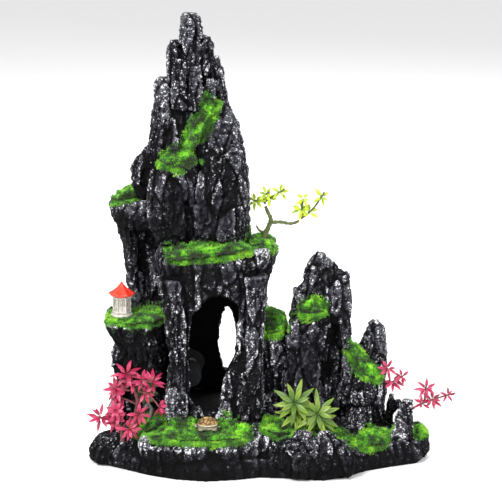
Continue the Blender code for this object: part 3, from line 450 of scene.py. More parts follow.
def weathering(points, seed):
    """How far each point of a casting moves out, and the part of it that is broad relief."""
    warp = np.stack([layered_noise(points, BEND_SIZE, 2, seed + 20 + k) for k in range(3)], axis=1)
    bent = points + warp * np.array(BEND_REACH)
    relief = RELIEF_DEPTH * layered_noise(points, RELIEF_SIZE, 2, seed + 11)
    column, edge = blocks_at(bent, COLUMN_SIZE, seed)
    relief += COLUMN_DEPTH * (column - 0.45) - COLUMN_GROOVE * groove(edge, COLUMN_GROOVE_SHARE)
    chip, edge = blocks_at(bent, CHIP_SIZE, seed + 7)
    out = relief + CHIP_DEPTH * (chip - 0.5) - CHIP_GROOVE * groove(edge, CHIP_GROOVE_SHARE)
    knob, edge = blocks_at(points + 0.6 * warp, KNOB_SIZE, seed + 13)
    out += KNOB_DEPTH * (knob - 0.5) + KNOB_ROUNDING * np.minimum(edge, 0.45) - 0.2
    out += GRIT_DEPTH * layered_noise(points, GRIT_SIZE, 3, seed + 31)
    out -= PIT_DEPTH * fade(noise_at(points, PIT_SIZE, seed + 41), 0.40, 0.85)
    return out, relief


MOSS_FINDING_GRID = 2.0


def moss_places():
    """A tree of every moss pad's points, to find which pad is nearest to a rock's point and how near."""
    points, pads = [], []
    for pad, name in enumerate(MOSS_NODES):
        found = [v.co.copy() for v in remeshed(name, MOSS_FINDING_GRID).vertices]
        points += found
        pads += [pad] * len(found)
    tree = kdtree.KDTree(len(points))
    for i, point in enumerate(points):
        tree.insert(point, i)
    tree.balance()
    return tree, np.array(pads)


MOSS_TREE, PAD_OF = moss_places()
# How far from a pad its dust and tufts reach, and the least cover that counts as near.
MOSS_SPREAD, LEAST_COVER = 7.5, 0.08
# For each casting: its points near moss, their normals, their cover, and the pad each is near.
NEAR_MOSS = []

# The cave's inside, which no dry brush reaches and which has painted shade: left, right, front, back, bottom
# and top.
CHAMBER = (-58, -2, -21, 24, 26, 126)
# How much of its roughness the casting keeps there, so that the rear window stays open.
CHAMBER_ROUGHNESS = 0.3

# The part of the back wall, round the stopper, that stays as smooth as the part has it.
BACK_WALL_FROM, STOPPER_CLEAR_RADIUS, STOPPER_CLEAR_FADE = 15, 13.0, 5.0

# Places on the front with painted shade, where the dry brush is held back: middle x and z, half width, half
# height, and how much.
PAINTED_SHADE_ZONES = [
    (-38, 171, 20, 14, 0.24), (-26, 133, 18, 11, 0.16), (31, 68, 12, 26, 0.16), (42, 124, 13, 13, 0.10),
    (-30, 8, 55, 9, 0.16), (-84, 70, 14, 16, 0.12), (-20, 176, 6, 9, 0.14), (-74, 124, 8, 32, 0.30),
    (-57, 128, 9, 6, 0.26), (0, 129, 10, 6, 0.26),
]
# How deep the painted shade zones reach from the front, and over how far they end.
FRONT_DEPTH, FRONT_FADE = 8.0, 4
# The size of the patches that have more or less dry brush everywhere.
PATCH_SIZE = (26, 26, 34)


def painted_shade_at(points):
    """How much painted shade each point has, as less dry brush, from the painted shade zones."""
    total = np.zeros(len(points))
    for x, z, wide, high, amount in PAINTED_SHADE_ZONES:
        away = ((points[:, 0] - x) / wide) ** 4 + ((points[:, 2] - z) / high) ** 4
        total = np.maximum(total, amount * np.exp(-away))
    return total * (1 - fade(points[:, 1], FRONT_DEPTH - FRONT_FADE, FRONT_DEPTH + FRONT_FADE))


def brush_and_light_reach(points, out):
    """How well a dry brush reaches each point and how lit it is painted, from 0 to 1, with painted shade
    inside the cave, under overhangs and low down; and which points are inside the cave.
    """
    left, right, front, back, bottom, top = CHAMBER
    inside = (points[:, 0] > left) & (points[:, 0] < right) & (points[:, 1] > front)
    inside &= (points[:, 1] < back) & (points[:, 2] > bottom) & (points[:, 2] < top)
    # Painted shade on faces that look down and near the bottom, where the dry brush also reaches less.
    lit_share = fade(out[:, 2], -0.75, 0.0) * (0.45 + 0.55 * fade(points[:, 2], 3, 22))
    return np.where(inside, 0.0, lit_share), inside


def unit(values):
    return values / (np.linalg.norm(values, axis=1)[:, None] + TINY)


def left_free(points):
    """1 where the surface may move, and 0 round the stopper and on the underside."""
    from_axis = np.hypot(points[:, 0] - STOPPER_X, points[:, 2] - STOPPER_Z)
    free = fade(from_axis, STOPPER_CLEAR_RADIUS, STOPPER_CLEAR_RADIUS + STOPPER_CLEAR_FADE)
    free = np.where(points[:, 1] > BACK_WALL_FROM, free, 1.0)
    return free * fade(points[:, 2], 0.2, 3.0)


def paint_casting(mesh, index, moved, out, relief, reach):
    """Stores where a casting's dry brush is, and its painted shade in hollows, under overhangs, low down,
    inside the cave and in the painted shade zones.
    """
    lay = averaged(moved, edge_ends(mesh), 4)
    broad = averaged(lay, edge_ends(mesh), 24)
    ridge = np.einsum("ij,ij->i", moved - lay, out)
    hollow = np.einsum("ij,ij->i", lay - broad, out)
    ridge, hollow, relief = (value / (value.std() + TINY) for value in (ridge, hollow, relief))
    patches = layered_noise(moved, PATCH_SIZE, 2, 900 + index)
    # The dry brush on ridges and raised relief, with less of it where painted shade lies.
    brush = 0.52 + 0.11 * ridge + 0.09 * hollow + 0.05 * relief + 0.16 * patches - painted_shade_at(moved)
    attribute(mesh, "brush", np.clip(brush * (0.25 + 0.75 * reach), 0, 1))
    # Painted shade on the charcoal body: darker in hollows, under overhangs, low down and inside the cave.
    depth = 0.5 + 0.08 * ridge + 0.15 * hollow + 0.12 * relief
    attribute(mesh, "depth", np.clip(depth * (0.15 + 0.85 * reach), 0, 1))


def dust_casting(mesh, moved, out):
    """Stores how much moss dust a casting has, and keeps the places where tufts may grow."""
    found = [MOSS_TREE.find(point * MM) for point in moved]
    near = np.array([distance for _, _, distance in found]) / MM
    pad = PAD_OF[[nearest for _, nearest, _ in found]]
    upward = 0.45 + 0.55 * fade(out[:, 2], -0.3, 0.6)
    cover = upward * (1 - fade(near, 0.5, MOSS_SPREAD))
    attribute(mesh, "dust", cover)
    kept = cover > LEAST_COVER
    NEAR_MOSS.append((moved[kept], out[kept], cover[kept], pad[kept]))


def make_casting(index, name):
    voxel, strength = ROCK_LOOKS[name]
    mesh = remeshed(name, voxel)
    points = places(mesh)
    out = unit(averaged(normals(mesh), edge_ends(mesh), 6))
    level = 1 - 0.55 * fade(out[:, 2], 0.75, 0.95)
    reach, inside = brush_and_light_reach(points, out)
    rough, relief = weathering(points, 50 * index)
    push = rough * strength * level * np.where(inside, CHAMBER_ROUGHNESS, 1.0) + SEAM_COVER
    moved = points + out * (push * left_free(points))[:, None]
    moved[:, 2] = np.maximum(moved[:, 2], LOWEST)
    move_to(mesh, moved)
    paint_casting(mesh, index, moved, out, relief, reach)
    dust_casting(mesh, moved, out)
    mesh.materials.append(ROCK)
    return store(name.replace("_rock", "") + "_casting", mesh, [name])


# ---------------- moss


MOSS_GRID = 0.8
CLUMP_SIZE = 4.2
# How a pad's surface rises and falls: round clumps, steps between them, roughness, and the sinking of it all
# and of its underside.
CLUMP_ROUNDING, CLUMP_STEP, CLUMP_ROUGHNESS, PAD_SINK, UNDERSIDE_SINK = 1.2, 0.8, 2.0, 0.8, 0.7
FIBRES_PER_MM2 = 2.6
FIBRE_LENGTH = (0.6, 2.3)
FIBRE_WIDTH = 0.32
POINTS_PER_FIBRE = 4
# How far a fibre leans from its pad's normal, and how deep its foot is set.
FIBRE_SCATTER, FIBRE_ROOT = 0.7, 0.3
FIBRES_PER_TUFT, MOST_TUFTS, TUFT_WIDTH = 7, 2600, 0.35
# How much darker moss is where it hangs down a steep side.
STEEP_SHADE = 0.35


def steepness(up):
    """How much darker moss is for each normal."""
    return STEEP_SHADE * (1 - fade(up[:, 2], 0.0, 0.7))


def fibres(feet, up, rng, scale=1.0):
    """Pointed three-sided fibres: their points, which are all first corners, all second, all third, then all
    tips, and their shade."""
    count = len(feet)
    lean = up + rng.normal(0, FIBRE_SCATTER, (count, 3))
    lean /= np.linalg.norm(lean, axis=1)[:, None]
    length = rng.uniform(*FIBRE_LENGTH, count) * scale
    side = np.cross(lean, rng.normal(0, 1, (count, 3)))
    side /= np.linalg.norm(side, axis=1)[:, None]
    other = np.cross(lean, side)
    rings = [
        feet - lean * FIBRE_ROOT + FIBRE_WIDTH / 2 * (math.cos(t) * side + math.sin(t) * other)
        for t in (0, 2 * math.pi / 3, 4 * math.pi / 3)
    ]
    tone = rng.uniform(0, 0.35, count) - steepness(up)
    # Painted shade: dark at the fibres' roots, light at their tips.
    shade = np.concatenate([0.12 + tone] * 3 + [0.5 + tone + 0.1 * length])
    return np.concatenate(rings + [feet + lean * length[:, None]]), shade


def fibre_faces(start, count):
    """The faces of so many fibres, whose points begin at start."""
    made = []
    for i in range(count):
        p, q, r, tip = (start + k * count + i for k in range(4))
        made.extend(((p, q, tip), (q, r, tip), (r, p, tip), (r, q, p)))
    return made


def pad_fibres(mesh, points, rng):
    """Feet and directions of fibres spread evenly over the parts of a pad that don't face down."""
    mesh.calc_loop_triangles()
    corners = np.array([t.vertices[:] for t in mesh.loop_triangles])
    a, b, c = points[corners[:, 0]], points[corners[:, 1]], points[corners[:, 2]]
    cross = np.cross(b - a, c - a)
    area = np.linalg.norm(cross, axis=1) / 2
    up = cross / (2 * area[:, None] + 1e-12)
    wanted = area * fade(up[:, 2], -0.35, 0.15)
    count = int(wanted.sum() * FIBRES_PER_MM2)
    chosen = rng.choice(len(area), count, p=wanted / wanted.sum())
    u, v = rng.random(count), rng.random(count)
    flip = u + v > 1
    u, v = np.where(flip, 1 - u, u), np.where(flip, 1 - v, v)
    feet = a[chosen] + u[:, None] * (b - a)[chosen] + v[:, None] * (c - a)[chosen]
    return feet, up[chosen]


def rock_tufts(pad, rng):
    """Feet and directions of the tufts that have taken hold on the rock round a pad."""
    points, out, cover = (
        np.concatenate([group[part][group[3] == pad] for group in NEAR_MOSS]) for part in range(3)
    )
    growing = cover + 0.55 * layered_noise(points, 5.0, 2, 360 + pad) + rng.uniform(-0.25, 0.25, len(points))
    held = np.flatnonzero(growing > 0.50)
    held = rng.permutation(held)[:MOST_TUFTS]
    feet = np.repeat(points[held], FIBRES_PER_TUFT, axis=0)
    feet = feet + rng.normal(0, TUFT_WIDTH, feet.shape)
    return feet, np.repeat(out[held] + (0, 0, 0.4), FIBRES_PER_TUFT, axis=0)


def make_moss(index, name):
    """A pad of clumps with flock fibres on it and tufts on the rock round it."""
    mesh = remeshed(name, MOSS_GRID)
    points, out = places(mesh), normals(mesh)
    clumps, edge = blocks_at(points, CLUMP_SIZE, 300 + index)
    rough = layered_noise(points, CLUMP_SIZE, 3, 340 + index)
    rise = CLUMP_ROUNDING * np.minimum(edge, 0.5) + CLUMP_STEP * (clumps - 0.5) + CLUMP_ROUGHNESS * rough
    rise -= PAD_SINK
    rise -= UNDERSIDE_SINK * fade(-out[:, 2], -0.2, 0.3)
    points = points + out * rise[:, None]
    move_to(mesh, points)
    rng = np.random.default_rng(400 + index)
    groups = [fibres(*pad_fibres(mesh, points, rng), rng), fibres(*rock_tufts(index, rng), rng, 0.8)]
    faces = [tuple(p.vertices) for p in mesh.polygons]
    # The pad's surface between the fibres is dark, with painted shade deeper in the low parts between clumps.
    vertices, shade = [points], [np.clip(0.10 + 0.25 * rise, 0, 1) - steepness(out)]
    start = len(points)
    for fibre_points, fibre_shade in groups:
        faces += fibre_faces(start, len(fibre_points) // POINTS_PER_FIBRE)
        start += len(fibre_points)
        vertices.append(fibre_points)
        shade.append(fibre_shade)
    bpy.data.meshes.remove(mesh)
    flocked = mesh_from(name, np.concatenate(vertices), faces)
    attribute(flocked, "shade", np.concatenate(shade))
    flocked.materials.append(MOSS)
    return store(name + "_flock", flocked, [name])


# ---------------- plants


def round_angles(count):
    return np.linspace(0, 2 * math.pi, count, endpoint=False)


def smooth_route(points, steps):
    """Points along a smooth curve through the given ones."""
    points = [np.array(p, dtype=float) for p in points]
    found = []
    ends = [points[0]] + points + [points[-1]]
    for p0, p1, p2, p3 in zip(ends, ends[1:], ends[2:], ends[3:]):
        for t in np.arange(steps) / steps:
            found.append(0.5 * ((2 * p1) + (p2 - p0) * t + (2 * p0 - 5 * p1 + 4 * p2 - p3) * t * t
                                + (3 * p1 - p0 - 3 * p2 + p3) * t ** 3))
    return found + [points[-1]]


# The material slots of a plant.
BARK, LEAF = 0, 1
# A leaflet: the share of it that is its thin foot, its thickness, the usual droop of its tip as a share of
# its length, how high its edges fold as a share of its half width, and its grid.
PETIOLE, LEAF_THICKNESS, LEAF_DROOP, LEAF_FOLD = 0.14, 0.26, 0.25, 0.28
LEAF_STATIONS, LEAF_STEPS_ACROSS = 12, 7
# How much longer and wider than their drawn sizes all leaflets are.
LEAF_LENGTHEN, LEAF_WIDEN = 1.12, 1.3
# The two layers of a spray: share of the length, tilt towards the facing direction, and leaflets left out.
SPRAY_LAYERS = ((1.0, 0.12, 0), (0.72, 0.62, 2))


class Growth:
    """Collects a plant's stems and leaflets into one mesh with its attributes and two materials."""

    def __init__(self):
        self.vertices, self.faces, self.kinds = [], [], []
        self.values = {"along": [], "across": [], "each": []}

    def add(self, rings, kind, along, across, each):
        """Joins rings of points into a closed tube."""
        start, count = len(self.vertices), len(rings[0])
        for ring in rings:
            self.vertices.extend(ring)
        for r in range(len(rings) - 1):
            low, high = start + r * count, start + (r + 1) * count
            for i in range(count):
                j = (i + 1) % count
                self.faces.append((low + i, low + j, high + j, high + i))
                self.kinds.append(kind)
        for ring, order in ((0, -1), (len(rings) - 1, 1)):
            self.faces.append(tuple(start + ring * count + i for i in range(count))[::order])
            self.kinds.append(kind)
        self.values["along"].extend(along)
        self.values["across"].extend(across)
        self.values["each"].extend([each] * (len(rings) * count))

    def stem(self, points, thick, thin, rng, sides=10):
        """A tapering, slightly knotted stem."""
        route = smooth_route(points, 7)
        rings = []
        for i, place in enumerate(route):
            ahead = route[min(i + 1, len(route) - 1)] - route[max(i - 1, 0)]
            ahead /= np.linalg.norm(ahead)
            side = np.cross(ahead, (0.2, 0.9, 0.3))
            side /= np.linalg.norm(side)
            other = np.cross(ahead, side)
            share = i / (len(route) - 1)
            knot = 1 + 0.12 * math.sin(i * 1.9) + rng.uniform(-0.05, 0.05)
            radius = (thick + (thin - thick) * share) * knot
            ring = []
            for t in round_angles(sides):
                rib = 1 + 0.10 * math.sin(3 * t + i * 0.4)
                ring.append(place + radius * rib * (math.cos(t) * side + math.sin(t) * other))
            rings.append(ring)
        total = len(rings) * sides
        self.add(rings, BARK, [0.5] * total, [1.0] * total, 0.5)

    def leaflet(self, base, direction, facing, length, width, rng):
        """One pointed leaflet: narrow at its foot, folded along its midrib, and curved down to its tip."""
        each = rng.random()
        bend = LEAF_DROOP * rng.uniform(0.4, 1.5)
        twist = rng.uniform(-0.35, 0.35)
        side = np.cross(facing, direction)
        side /= np.linalg.norm(side)
        side = side * math.cos(twist) + facing * math.sin(twist)
        up = np.cross(direction, side)
        rings, along, across = [], [], []
        for s in (i / (LEAF_STATIONS - 1) for i in range(LEAF_STATIONS)):
            blade = min(max((s - PETIOLE) / (1 - PETIOLE), 0.0), 1.0)
            half = max(width * math.sin(math.pi * blade ** 0.85) ** 0.9 / 2, 0.20 - 0.14 * s)
            middle = base + direction * length * s - up * length * bend * s * s
            top, under = [], []
            for k in range(LEAF_STEPS_ACROSS):
                w = -1 + 2 * k / (LEAF_STEPS_ACROSS - 1)
                thick = LEAF_THICKNESS * (1.25 - 0.75 * abs(w))
                place = middle + side * half * w + up * half * LEAF_FOLD * abs(w)
                top.append((place + up * thick / 2, abs(w)))
                under.append((place - up * thick / 2, abs(w)))
            ring = top + under[::-1]
            rings.append([p for p, _ in ring])
            across.extend(w for _, w in ring)
            along.extend([s] * len(ring))
        self.add(rings, LEAF, along, across, each)

    def spray(self, centre, facing, leaves, length, width, start, sweep, rng):
        """A whorl of leaflets with a smaller one above it, round a hub that looks in the facing direction."""
        facing = np.array(facing, dtype=float)
        facing /= np.linalg.norm(facing)
        turn = np.array(Vector(facing).to_track_quat("Z", "Y").to_matrix())
        for layer, (share, tilt, fewer) in enumerate(SPRAY_LAYERS):
            count = max(3, leaves - fewer)
            for i in range(count):
                t = math.radians(start + sweep * (i + 0.5 + 0.5 * layer) / count) + rng.uniform(-0.12, 0.12)
                direction = turn @ np.array([math.cos(t), math.sin(t), tilt + rng.uniform(-0.10, 0.18)])
                direction /= np.linalg.norm(direction)
                long = length * share * rng.uniform(0.86, 1.08) * LEAF_LENGTHEN
                self.leaflet(centre + direction * 0.3, direction, facing, long, width * LEAF_WIDEN, rng)

    def mesh(self, name, bark, leaf):
        made = mesh_from(name, self.vertices, self.faces)
        for key, values in self.values.items():
            attribute(made, key, values)
        made.materials.append(bark)
        made.materials.append(leaf)
        made.polygons.foreach_set("material_index", self.kinds)
        return made


# The ways that most sprays face.
RAISED, RAISED_STRAIGHT = (0.1, -0.8, 0.6), (0, -0.8, 0.6)
FORWARD, STRAIGHT = (0.1, -0.9, 0.4), (0, -0.9, 0.4)

# Each plant piece: slot, materials, its stems as (points, thick, thin), and its sprays as
# (stem, share of the way along it, facing, leaves, length, width, start angle, sweep).
PLANTS = {
    "red_tree_trunk": ("brown_stem", RED, [
        ([(-81, -27, 24), (-81.5, -27.5, 36), (-80, -28, 46), (-82, -28, 55)], 1.5, 1),
        ([(-80.4, -28, 44), (-86, -29, 47), (-90, -30, 49)], 0.8, 0.6),
    ], [(1, 1, (-0.4, -0.8, 0.4), 5, 6.5, 1.7, 90, 220)]),
    "red_tree_crown": ("red_leaf", RED, [
        ([(-82.5, -28, 56.8), (-83, -28, 60), (-87, -28.5, 65)], 0.8, 0.6),
        ([(-82.7, -28, 58), (-77, -29, 61), (-70, -30.5, 60)], 0.7, 0.6),
    ], [
        (0, 1, RAISED, 7, 9.5, 1.9, 0, 360), (1, 1, (0, -0.6, 0.8), 6, 8.5, 1.7, -90, 230),
        (1, 0.5, (0.2, -0.9, 0.4), 6, 7, 1.9, 40, 360), (0, 0.5, (-0.1, -0.9, 0.4), 5, 7, 1.8, 90, 200),
    ]),
    "red_tree_side_spray": ("red_leaf", RED, [
        ([(-83.9, -28.6, 53.8), (-88, -30, 54.5), (-93, -31, 55)], 0.7, 0.6),
    ], [(0, 1, (-0.3, -0.8, 0.5), 7, 8.5, 2, 60, 260), (0, 0.5, STRAIGHT, 4, 6.5, 1.8, 60, 180)]),
    "red_tree_drooping_spray": ("red_leaf", RED, [
        ([(-79.6, -29.2, 53.5), (-75, -30, 52.5), (-70, -32, 49.5), (-65.5, -33, 44)], 0.7, 0.6),
    ], [(0, 0.35, (0.2, -0.8, 0.6), 5, 6.5, 1.7, -150, 250), (0, 1, (0.5, -0.8, 0.2), 5, 6, 1.5, -140, 200)]),
    "red_bush_stem": ("brown_stem", RED, [
        ([(-90, -33, 20), (-90, -33.5, 28), (-91, -34, 32)], 1.4, 1),
        ([(-90.6, -34, 31), (-95, -34.5, 34), (-99, -35, 35.5)], 0.7, 0.6),
        ([(-90.4, -34, 30), (-86, -34.5, 34), (-83, -35, 37)], 0.7, 0.6),
    ], [(1, 0.5, STRAIGHT, 5, 6.5, 1.6, 60, 260)]),
    "red_bush_flower": ("red_leaf", RED, [
        ([(-91.6, -34.2, 34.2), (-93, -34.5, 37), (-94, -35, 42)], 0.7, 0.6),
    ], [(0, 1, (-0.1, -0.9, 0.4), 8, 6.5, 2.2, 0, 360), (0, 0.5, FORWARD, 6, 5.5, 2, 0, 360)]),
    "red_bush_left_spray": ("red_leaf", RED, [
        ([(-100.6, -35.2, 36.2), (-104, -35.5, 37.5), (-110, -36, 39)], 0.6, 0.5),
    ], [(0, 0.5, (0.1, -0.7, 0.7), 7, 8, 1.7, 60, 300)]),
    "red_bush_right_spray": ("red_leaf", RED, [
        ([(-81.6, -35.4, 38.4), (-79, -35.6, 39.6)], 0.6, 0.5),
    ], [(0, 1, FORWARD, 7, 7.5, 1.7, -200, 300)]),
    "red_bush_low_spray": ("red_leaf", RED, [
        ([(-88.6, -36.2, 30), (-85, -37.6, 30.2)], 0.6, 0.5),
    ], [(0, 1, FORWARD, 7, 7.5, 1.7, -200, 300)]),
    "pink_twig_spire": ("red_leaf", RED, [
        ([(82, -9, 51.5), (87.5, -11.5, 54), (92, -12.5, 56), (97.5, -13, 60.5)], 0.8, 0.5),
        ([(87.2, -11.3, 53.8), (87, -12.8, 59), (85.5, -13.5, 64)], 0.6, 0.5),
    ], [
        (0, 0.5, RAISED, 6, 6.5, 1.7, 150, 260), (1, 1, RAISED, 6, 6, 1.6, 30, 330),
        (0, 0.85, (0.2, -0.8, 0.6), 5, 5.5, 1.5, 0, 300),
    ]),
    "pink_twig_fang": ("red_leaf", RED, [
        ([(101, -7.5, 33), (106, -9, 37), (112, -10, 40), (120, -10.5, 43), (131, -11, 46.5)], 0.8, 0.5),
        ([(111, -10, 39.6), (111, -10.5, 46), (111.5, -11, 52)], 0.6, 0.5),
    ], [
        (1, 0.8, RAISED_STRAIGHT, 7, 6.5, 1.6, 10, 340), (0, 0.68, RAISED, 7, 6.5, 1.5, 20, 330),
        (0, 0.9, RAISED, 5, 5, 1.3, 45, 360), (0, 0.4, RAISED, 5, 5.5, 1.4, -60, 300),
    ]),
    "green_plant_left": ("green_leaf", GREEN, [
        ([(27, -30, 22), (26, -33, 34), (23.5, -37, 48)], 1.2, 0.9),
    ], [
        (0, 1, (0, -0.9, 0.45), 9, 13.5, 2.7, 10, 360), (0, 0.7, (0.2, -0.9, 0.3), 7, 12, 2.5, -190, 260),
    ]),
    "green_plant_right": ("green_leaf", GREEN, [
        ([(41, -31, 20), (40, -34, 30), (38.5, -38, 41)], 1.2, 0.9),
    ], [
        (0, 1, (0.05, -0.9, 0.45), 9, 14, 2.7, 30, 360), (0, 0.75, (0.4, -0.8, 0.4), 7, 11.5, 2.4, -90, 260),
    ]),
    "shelf_tree_trunk": ("green_stem", LIME, [
        ([(4, 0, 141), (4, 0, 152), (6, -0.5, 157), (8, -1, 162.5), (6, -1.5, 168), (4.5, -2, 172)],
         2.1, 1),
        ([(7.4, -1, 161), (14, -1.5, 161.3), (21, -2, 160.5), (26.5, -2.5, 162.3)], 1.3, 0.9),
        ([(4.5, 0, 154), (0.5, -1, 155.5), (-1.5, -1.5, 159)], 0.9, 0.6),
    ], []),
    "shelf_tree_left_spray": ("green_leaf", LIME, [
        ([(4.2, -2, 173.8), (3, -2.5, 178.5), (7, -3, 182)], 0.7, 0.6),
        ([(4, -2.2, 175.2), (-2, -3, 176), (-7, -3.5, 178)], 0.7, 0.6),
        ([(4, -2.2, 175), (10, -3, 179.5), (17, -3.5, 184)], 0.7, 0.6),
    ], [
        (1, 0.6, (-0.1, -0.8, 0.6), 6, 6, 1.7, 90, 300), (0, 0.7, RAISED, 5, 5, 1.6, 20, 300),
        (2, 0.75, RAISED, 5, 6, 1.7, 45, 360), (2, 0.25, RAISED, 4, 5, 1.6, 45, 360),
    ]),
    "shelf_tree_right_spray": ("green_leaf", LIME, [
        ([(27.7, -2.7, 163.9), (33, -3, 168), (38, -3.5, 174), (43, -4, 182)], 0.7, 0.6),
        ([(28.6, -2.8, 164.6), (28.2, -3, 170), (29, -3.5, 177)], 0.7, 0.6),
    ], [
        (1, 0.6, RAISED_STRAIGHT, 6, 6.5, 1.8, 10, 330), (0, 0.35, RAISED, 5, 6.5, 1.8, -60, 280),
        (0, 0.8, RAISED, 4, 6, 1.7, 0, 330), (1, 1, RAISED_STRAIGHT, 4, 5, 1.6, 10, 330),
    ]),
    "relief_bonsai_trunk": ("brown_stem", RELIEF, [
        ([(-73, -19, 30), (-71, -19, 37), (-73.5, -18, 42), (-72, -17.5, 47)], 1.5, 0.9),
        ([(-73, -18, 41.5), (-76, -18, 45)], 0.8, 0.6),
    ], [(1, 1, STRAIGHT, 6, 4.5, 2, 0, 360)]),
    "relief_bonsai_crown": ("dark_green_leaf", RELIEF, [
        ([(-73, -18.6, 48.8), (-74.5, -19.4, 52)], 0.9, 0.8),
    ], [(0, 1, STRAIGHT, 9, 8, 2.4, 0, 360), (0, 0.5, STRAIGHT, 7, 6, 2.2, 0, 360)]),
}


def make_plant(index, name):
    slot, (bark, leaf), stems, sprays = PLANTS[name]
    rng = np.random.default_rng(700 + index)
    growth = Growth()
    for points, thick, thin in stems:
        growth.stem(points, thick, thin, rng)
    for stem_index, share, *shape in sprays:
        route = smooth_route(stems[stem_index][0], 2)
        growth.spray(route[round(share * (len(route) - 1))], *shape, rng)
    return store(name + "_foliage", growth.mesh(name, bark, leaf), [name])


# ---------------- pavilion


WALL_PAINT = painted_material("wall_paint", [
    (0.25, (0.20, 0.18, 0.15)), (0.5, (0.44, 0.42, 0.37)), (0.8, (0.60, 0.58, 0.53)),
], 420, 0.6)
ROOF_PAINT = painted_material("roof_paint", [
    (0.25, (0.42, 0.012, 0.006)), (0.55, (0.78, 0.045, 0.02)), (0.85, (0.88, 0.13, 0.07)),
], 500, 0.35)

# Heights are above the pavilion's underside. Each column is a (radius, height) profile.
COLUMNS = 12
COLUMN = [(0.85, 2.1), (0.85, 2.7), (0.62, 3.0), (0.60, 7.0), (0.56, 11.6), (0.85, 12.1), (0.85, 13.1)]
# Every second column stands at a corner, and the others are slimmer ones on the flats.
CORNER_REACH, FLAT_REACH, FLAT_SLIMNESS = 5.45, 4.7, 0.62
FINIAL = [(0.7, 21.6), (1.05, 22.0), (1.05, 22.2), (0.6, 22.45), (0.35, 22.7), (0.1, 23.35)]
ROOF_FOOT, ROOF_RISE, ROOF_RADIUS, ROOF_TOP_RADIUS, TILE_COURSES = 14.9, 7.3, 8.3, 0.9, 8
EAVES_LIFT = 0.9


def tube(rings):
    """The points and faces of a closed solid through rings of equal length."""
    count = len(rings[0])
    points = np.concatenate([np.asarray(ring, dtype=float) for ring in rings])
    faces = [
        (r * count + i, r * count + (i + 1) % count, (r + 1) * count + (i + 1) % count, (r + 1) * count + i)
        for r in range(len(rings) - 1) for i in range(count)
    ]
    faces.append(tuple(range(count))[::-1])
    faces.append(tuple(len(points) - count + i for i in range(count)))
    return points, faces


def joined(name, solids):
    """One mesh from several (points, faces) solids."""
    vertices, faces, start = [], [], 0
    for points, solid_faces in solids:
        vertices.append(points)
        faces += [tuple(start + i for i in face) for face in solid_faces]
        start += len(points)
    return mesh_from(name, np.concatenate(vertices), faces)


def six_sided(radius, height, lift=0.0, sides=48, swell=0.0):
    """A ring that follows a hexagon, with its corners lifted and its ribs swollen."""
    ring = []
    for i in range(sides):
        t = 2 * math.pi * i / sides
        off = (t + math.pi / 6) % (math.pi / 3) - math.pi / 6
        flat = math.cos(math.pi / 6) / math.cos(math.pi / 6 - abs(off))
        corner = max(0.0, 1 - abs(off) / (math.pi / 6)) ** 3
        reach = radius * flat + swell * corner
        ring.append((reach * math.cos(t), reach * math.sin(t), height + lift * corner))
    return np.array(ring) + PAVILION


def round_column(centre, profile, sides=12):
    """A turned column through (radius, height) pairs."""
    rings = [
        [(centre[0] + r * math.cos(t), centre[1] + r * math.sin(t), centre[2] + h)
         for t in round_angles(sides)] for r, h in profile
    ]
    return tube(rings)


def make_pavilion():
    plinth = joined("plinth", [tube([
        six_sided(7.5, 0.0), six_sided(7.6, 0.15), six_sided(7.6, 0.65), six_sided(7.2, 0.75),
        six_sided(7.2, 1.15), six_sided(6.9, 1.25), six_sided(6.9, 1.8),
    ])])
    plinth.materials.append(WALL_PAINT)
    store("pavilion_plinth_steps", plinth, ["pavilion_plinth"])

    solids = [tube([
        six_sided(6.2, 2.1), six_sided(6.2, 3.0), six_sided(4.9, 3.3), six_sided(4.9, 11.6),
        six_sided(5.9, 11.6), six_sided(6.1, 12.2), six_sided(6.1, 13.2),
    ])]
    for k in range(COLUMNS):
        t = 2 * math.pi * k / COLUMNS
        reach, slim = (CORNER_REACH, 1.0) if k % 2 == 0 else (FLAT_REACH, FLAT_SLIMNESS)
        centre = PAVILION + (reach * math.cos(t), reach * math.sin(t), 0)
        solids.append(round_column(centre, [(r * slim, h) for r, h in COLUMN]))
    walls = joined("walls", solids)
    walls.materials.append(WALL_PAINT)
    store("pavilion_walls_columns", walls, ["pavilion_walls"])

    courses = [six_sided(6.0, 13.5)]
    for radius, height in ((ROOF_RADIUS, 13.8), (8.6, 14.2), (ROOF_RADIUS, ROOF_FOOT)):
        courses.append(six_sided(radius, height, EAVES_LIFT))
    for k in range(TILE_COURSES):
        share = (k + 1) / (TILE_COURSES + 1)
        radius = ROOF_RADIUS * (1 - share) ** 1.35 + ROOF_TOP_RADIUS * share
        height = ROOF_FOOT + ROOF_RISE * share
        lift = EAVES_LIFT * (1 - share) ** 3
        courses.append(six_sided(radius + 0.28, height - 0.25, lift, swell=0.35 * (1 - share)))
        courses.append(six_sided(radius, height, lift, swell=0.3 * (1 - share)))
    roof = joined("roof", [tube(courses), round_column(PAVILION, FINIAL)])
    roof.materials.append(ROOF_PAINT)
    store("pavilion_roof_tiles", roof, ["pavilion_roof"])


# ---------------- turtle


def shell_material():
    """Brown scutes of uneven tone inside a pale rim."""
    made, tree, shader = new_material("turtle_shell", 0.45, 0.45)
    scute, rim = read_attribute(tree, "scute"), read_attribute(tree, "rim")
    mottle = texture_noise(tree, 700, 4)
    colour = ramp(tree, sum_of(tree, [(scute, 0.6), (mottle, 0.5)]), [
        (0.25, (0.035, 0.018, 0.006)), (0.5, (0.20, 0.11, 0.03)),
        (0.75, (0.42, 0.27, 0.08)), (1.0, (0.60, 0.46, 0.20)),
    ])
    colour = mixed(tree, rim, colour, (0.62, 0.55, 0.36))
    tree.links.new(colour, shader.inputs["Base Color"])
    bump(tree, shader, mottle, 0.0003, 0.6)
    return made


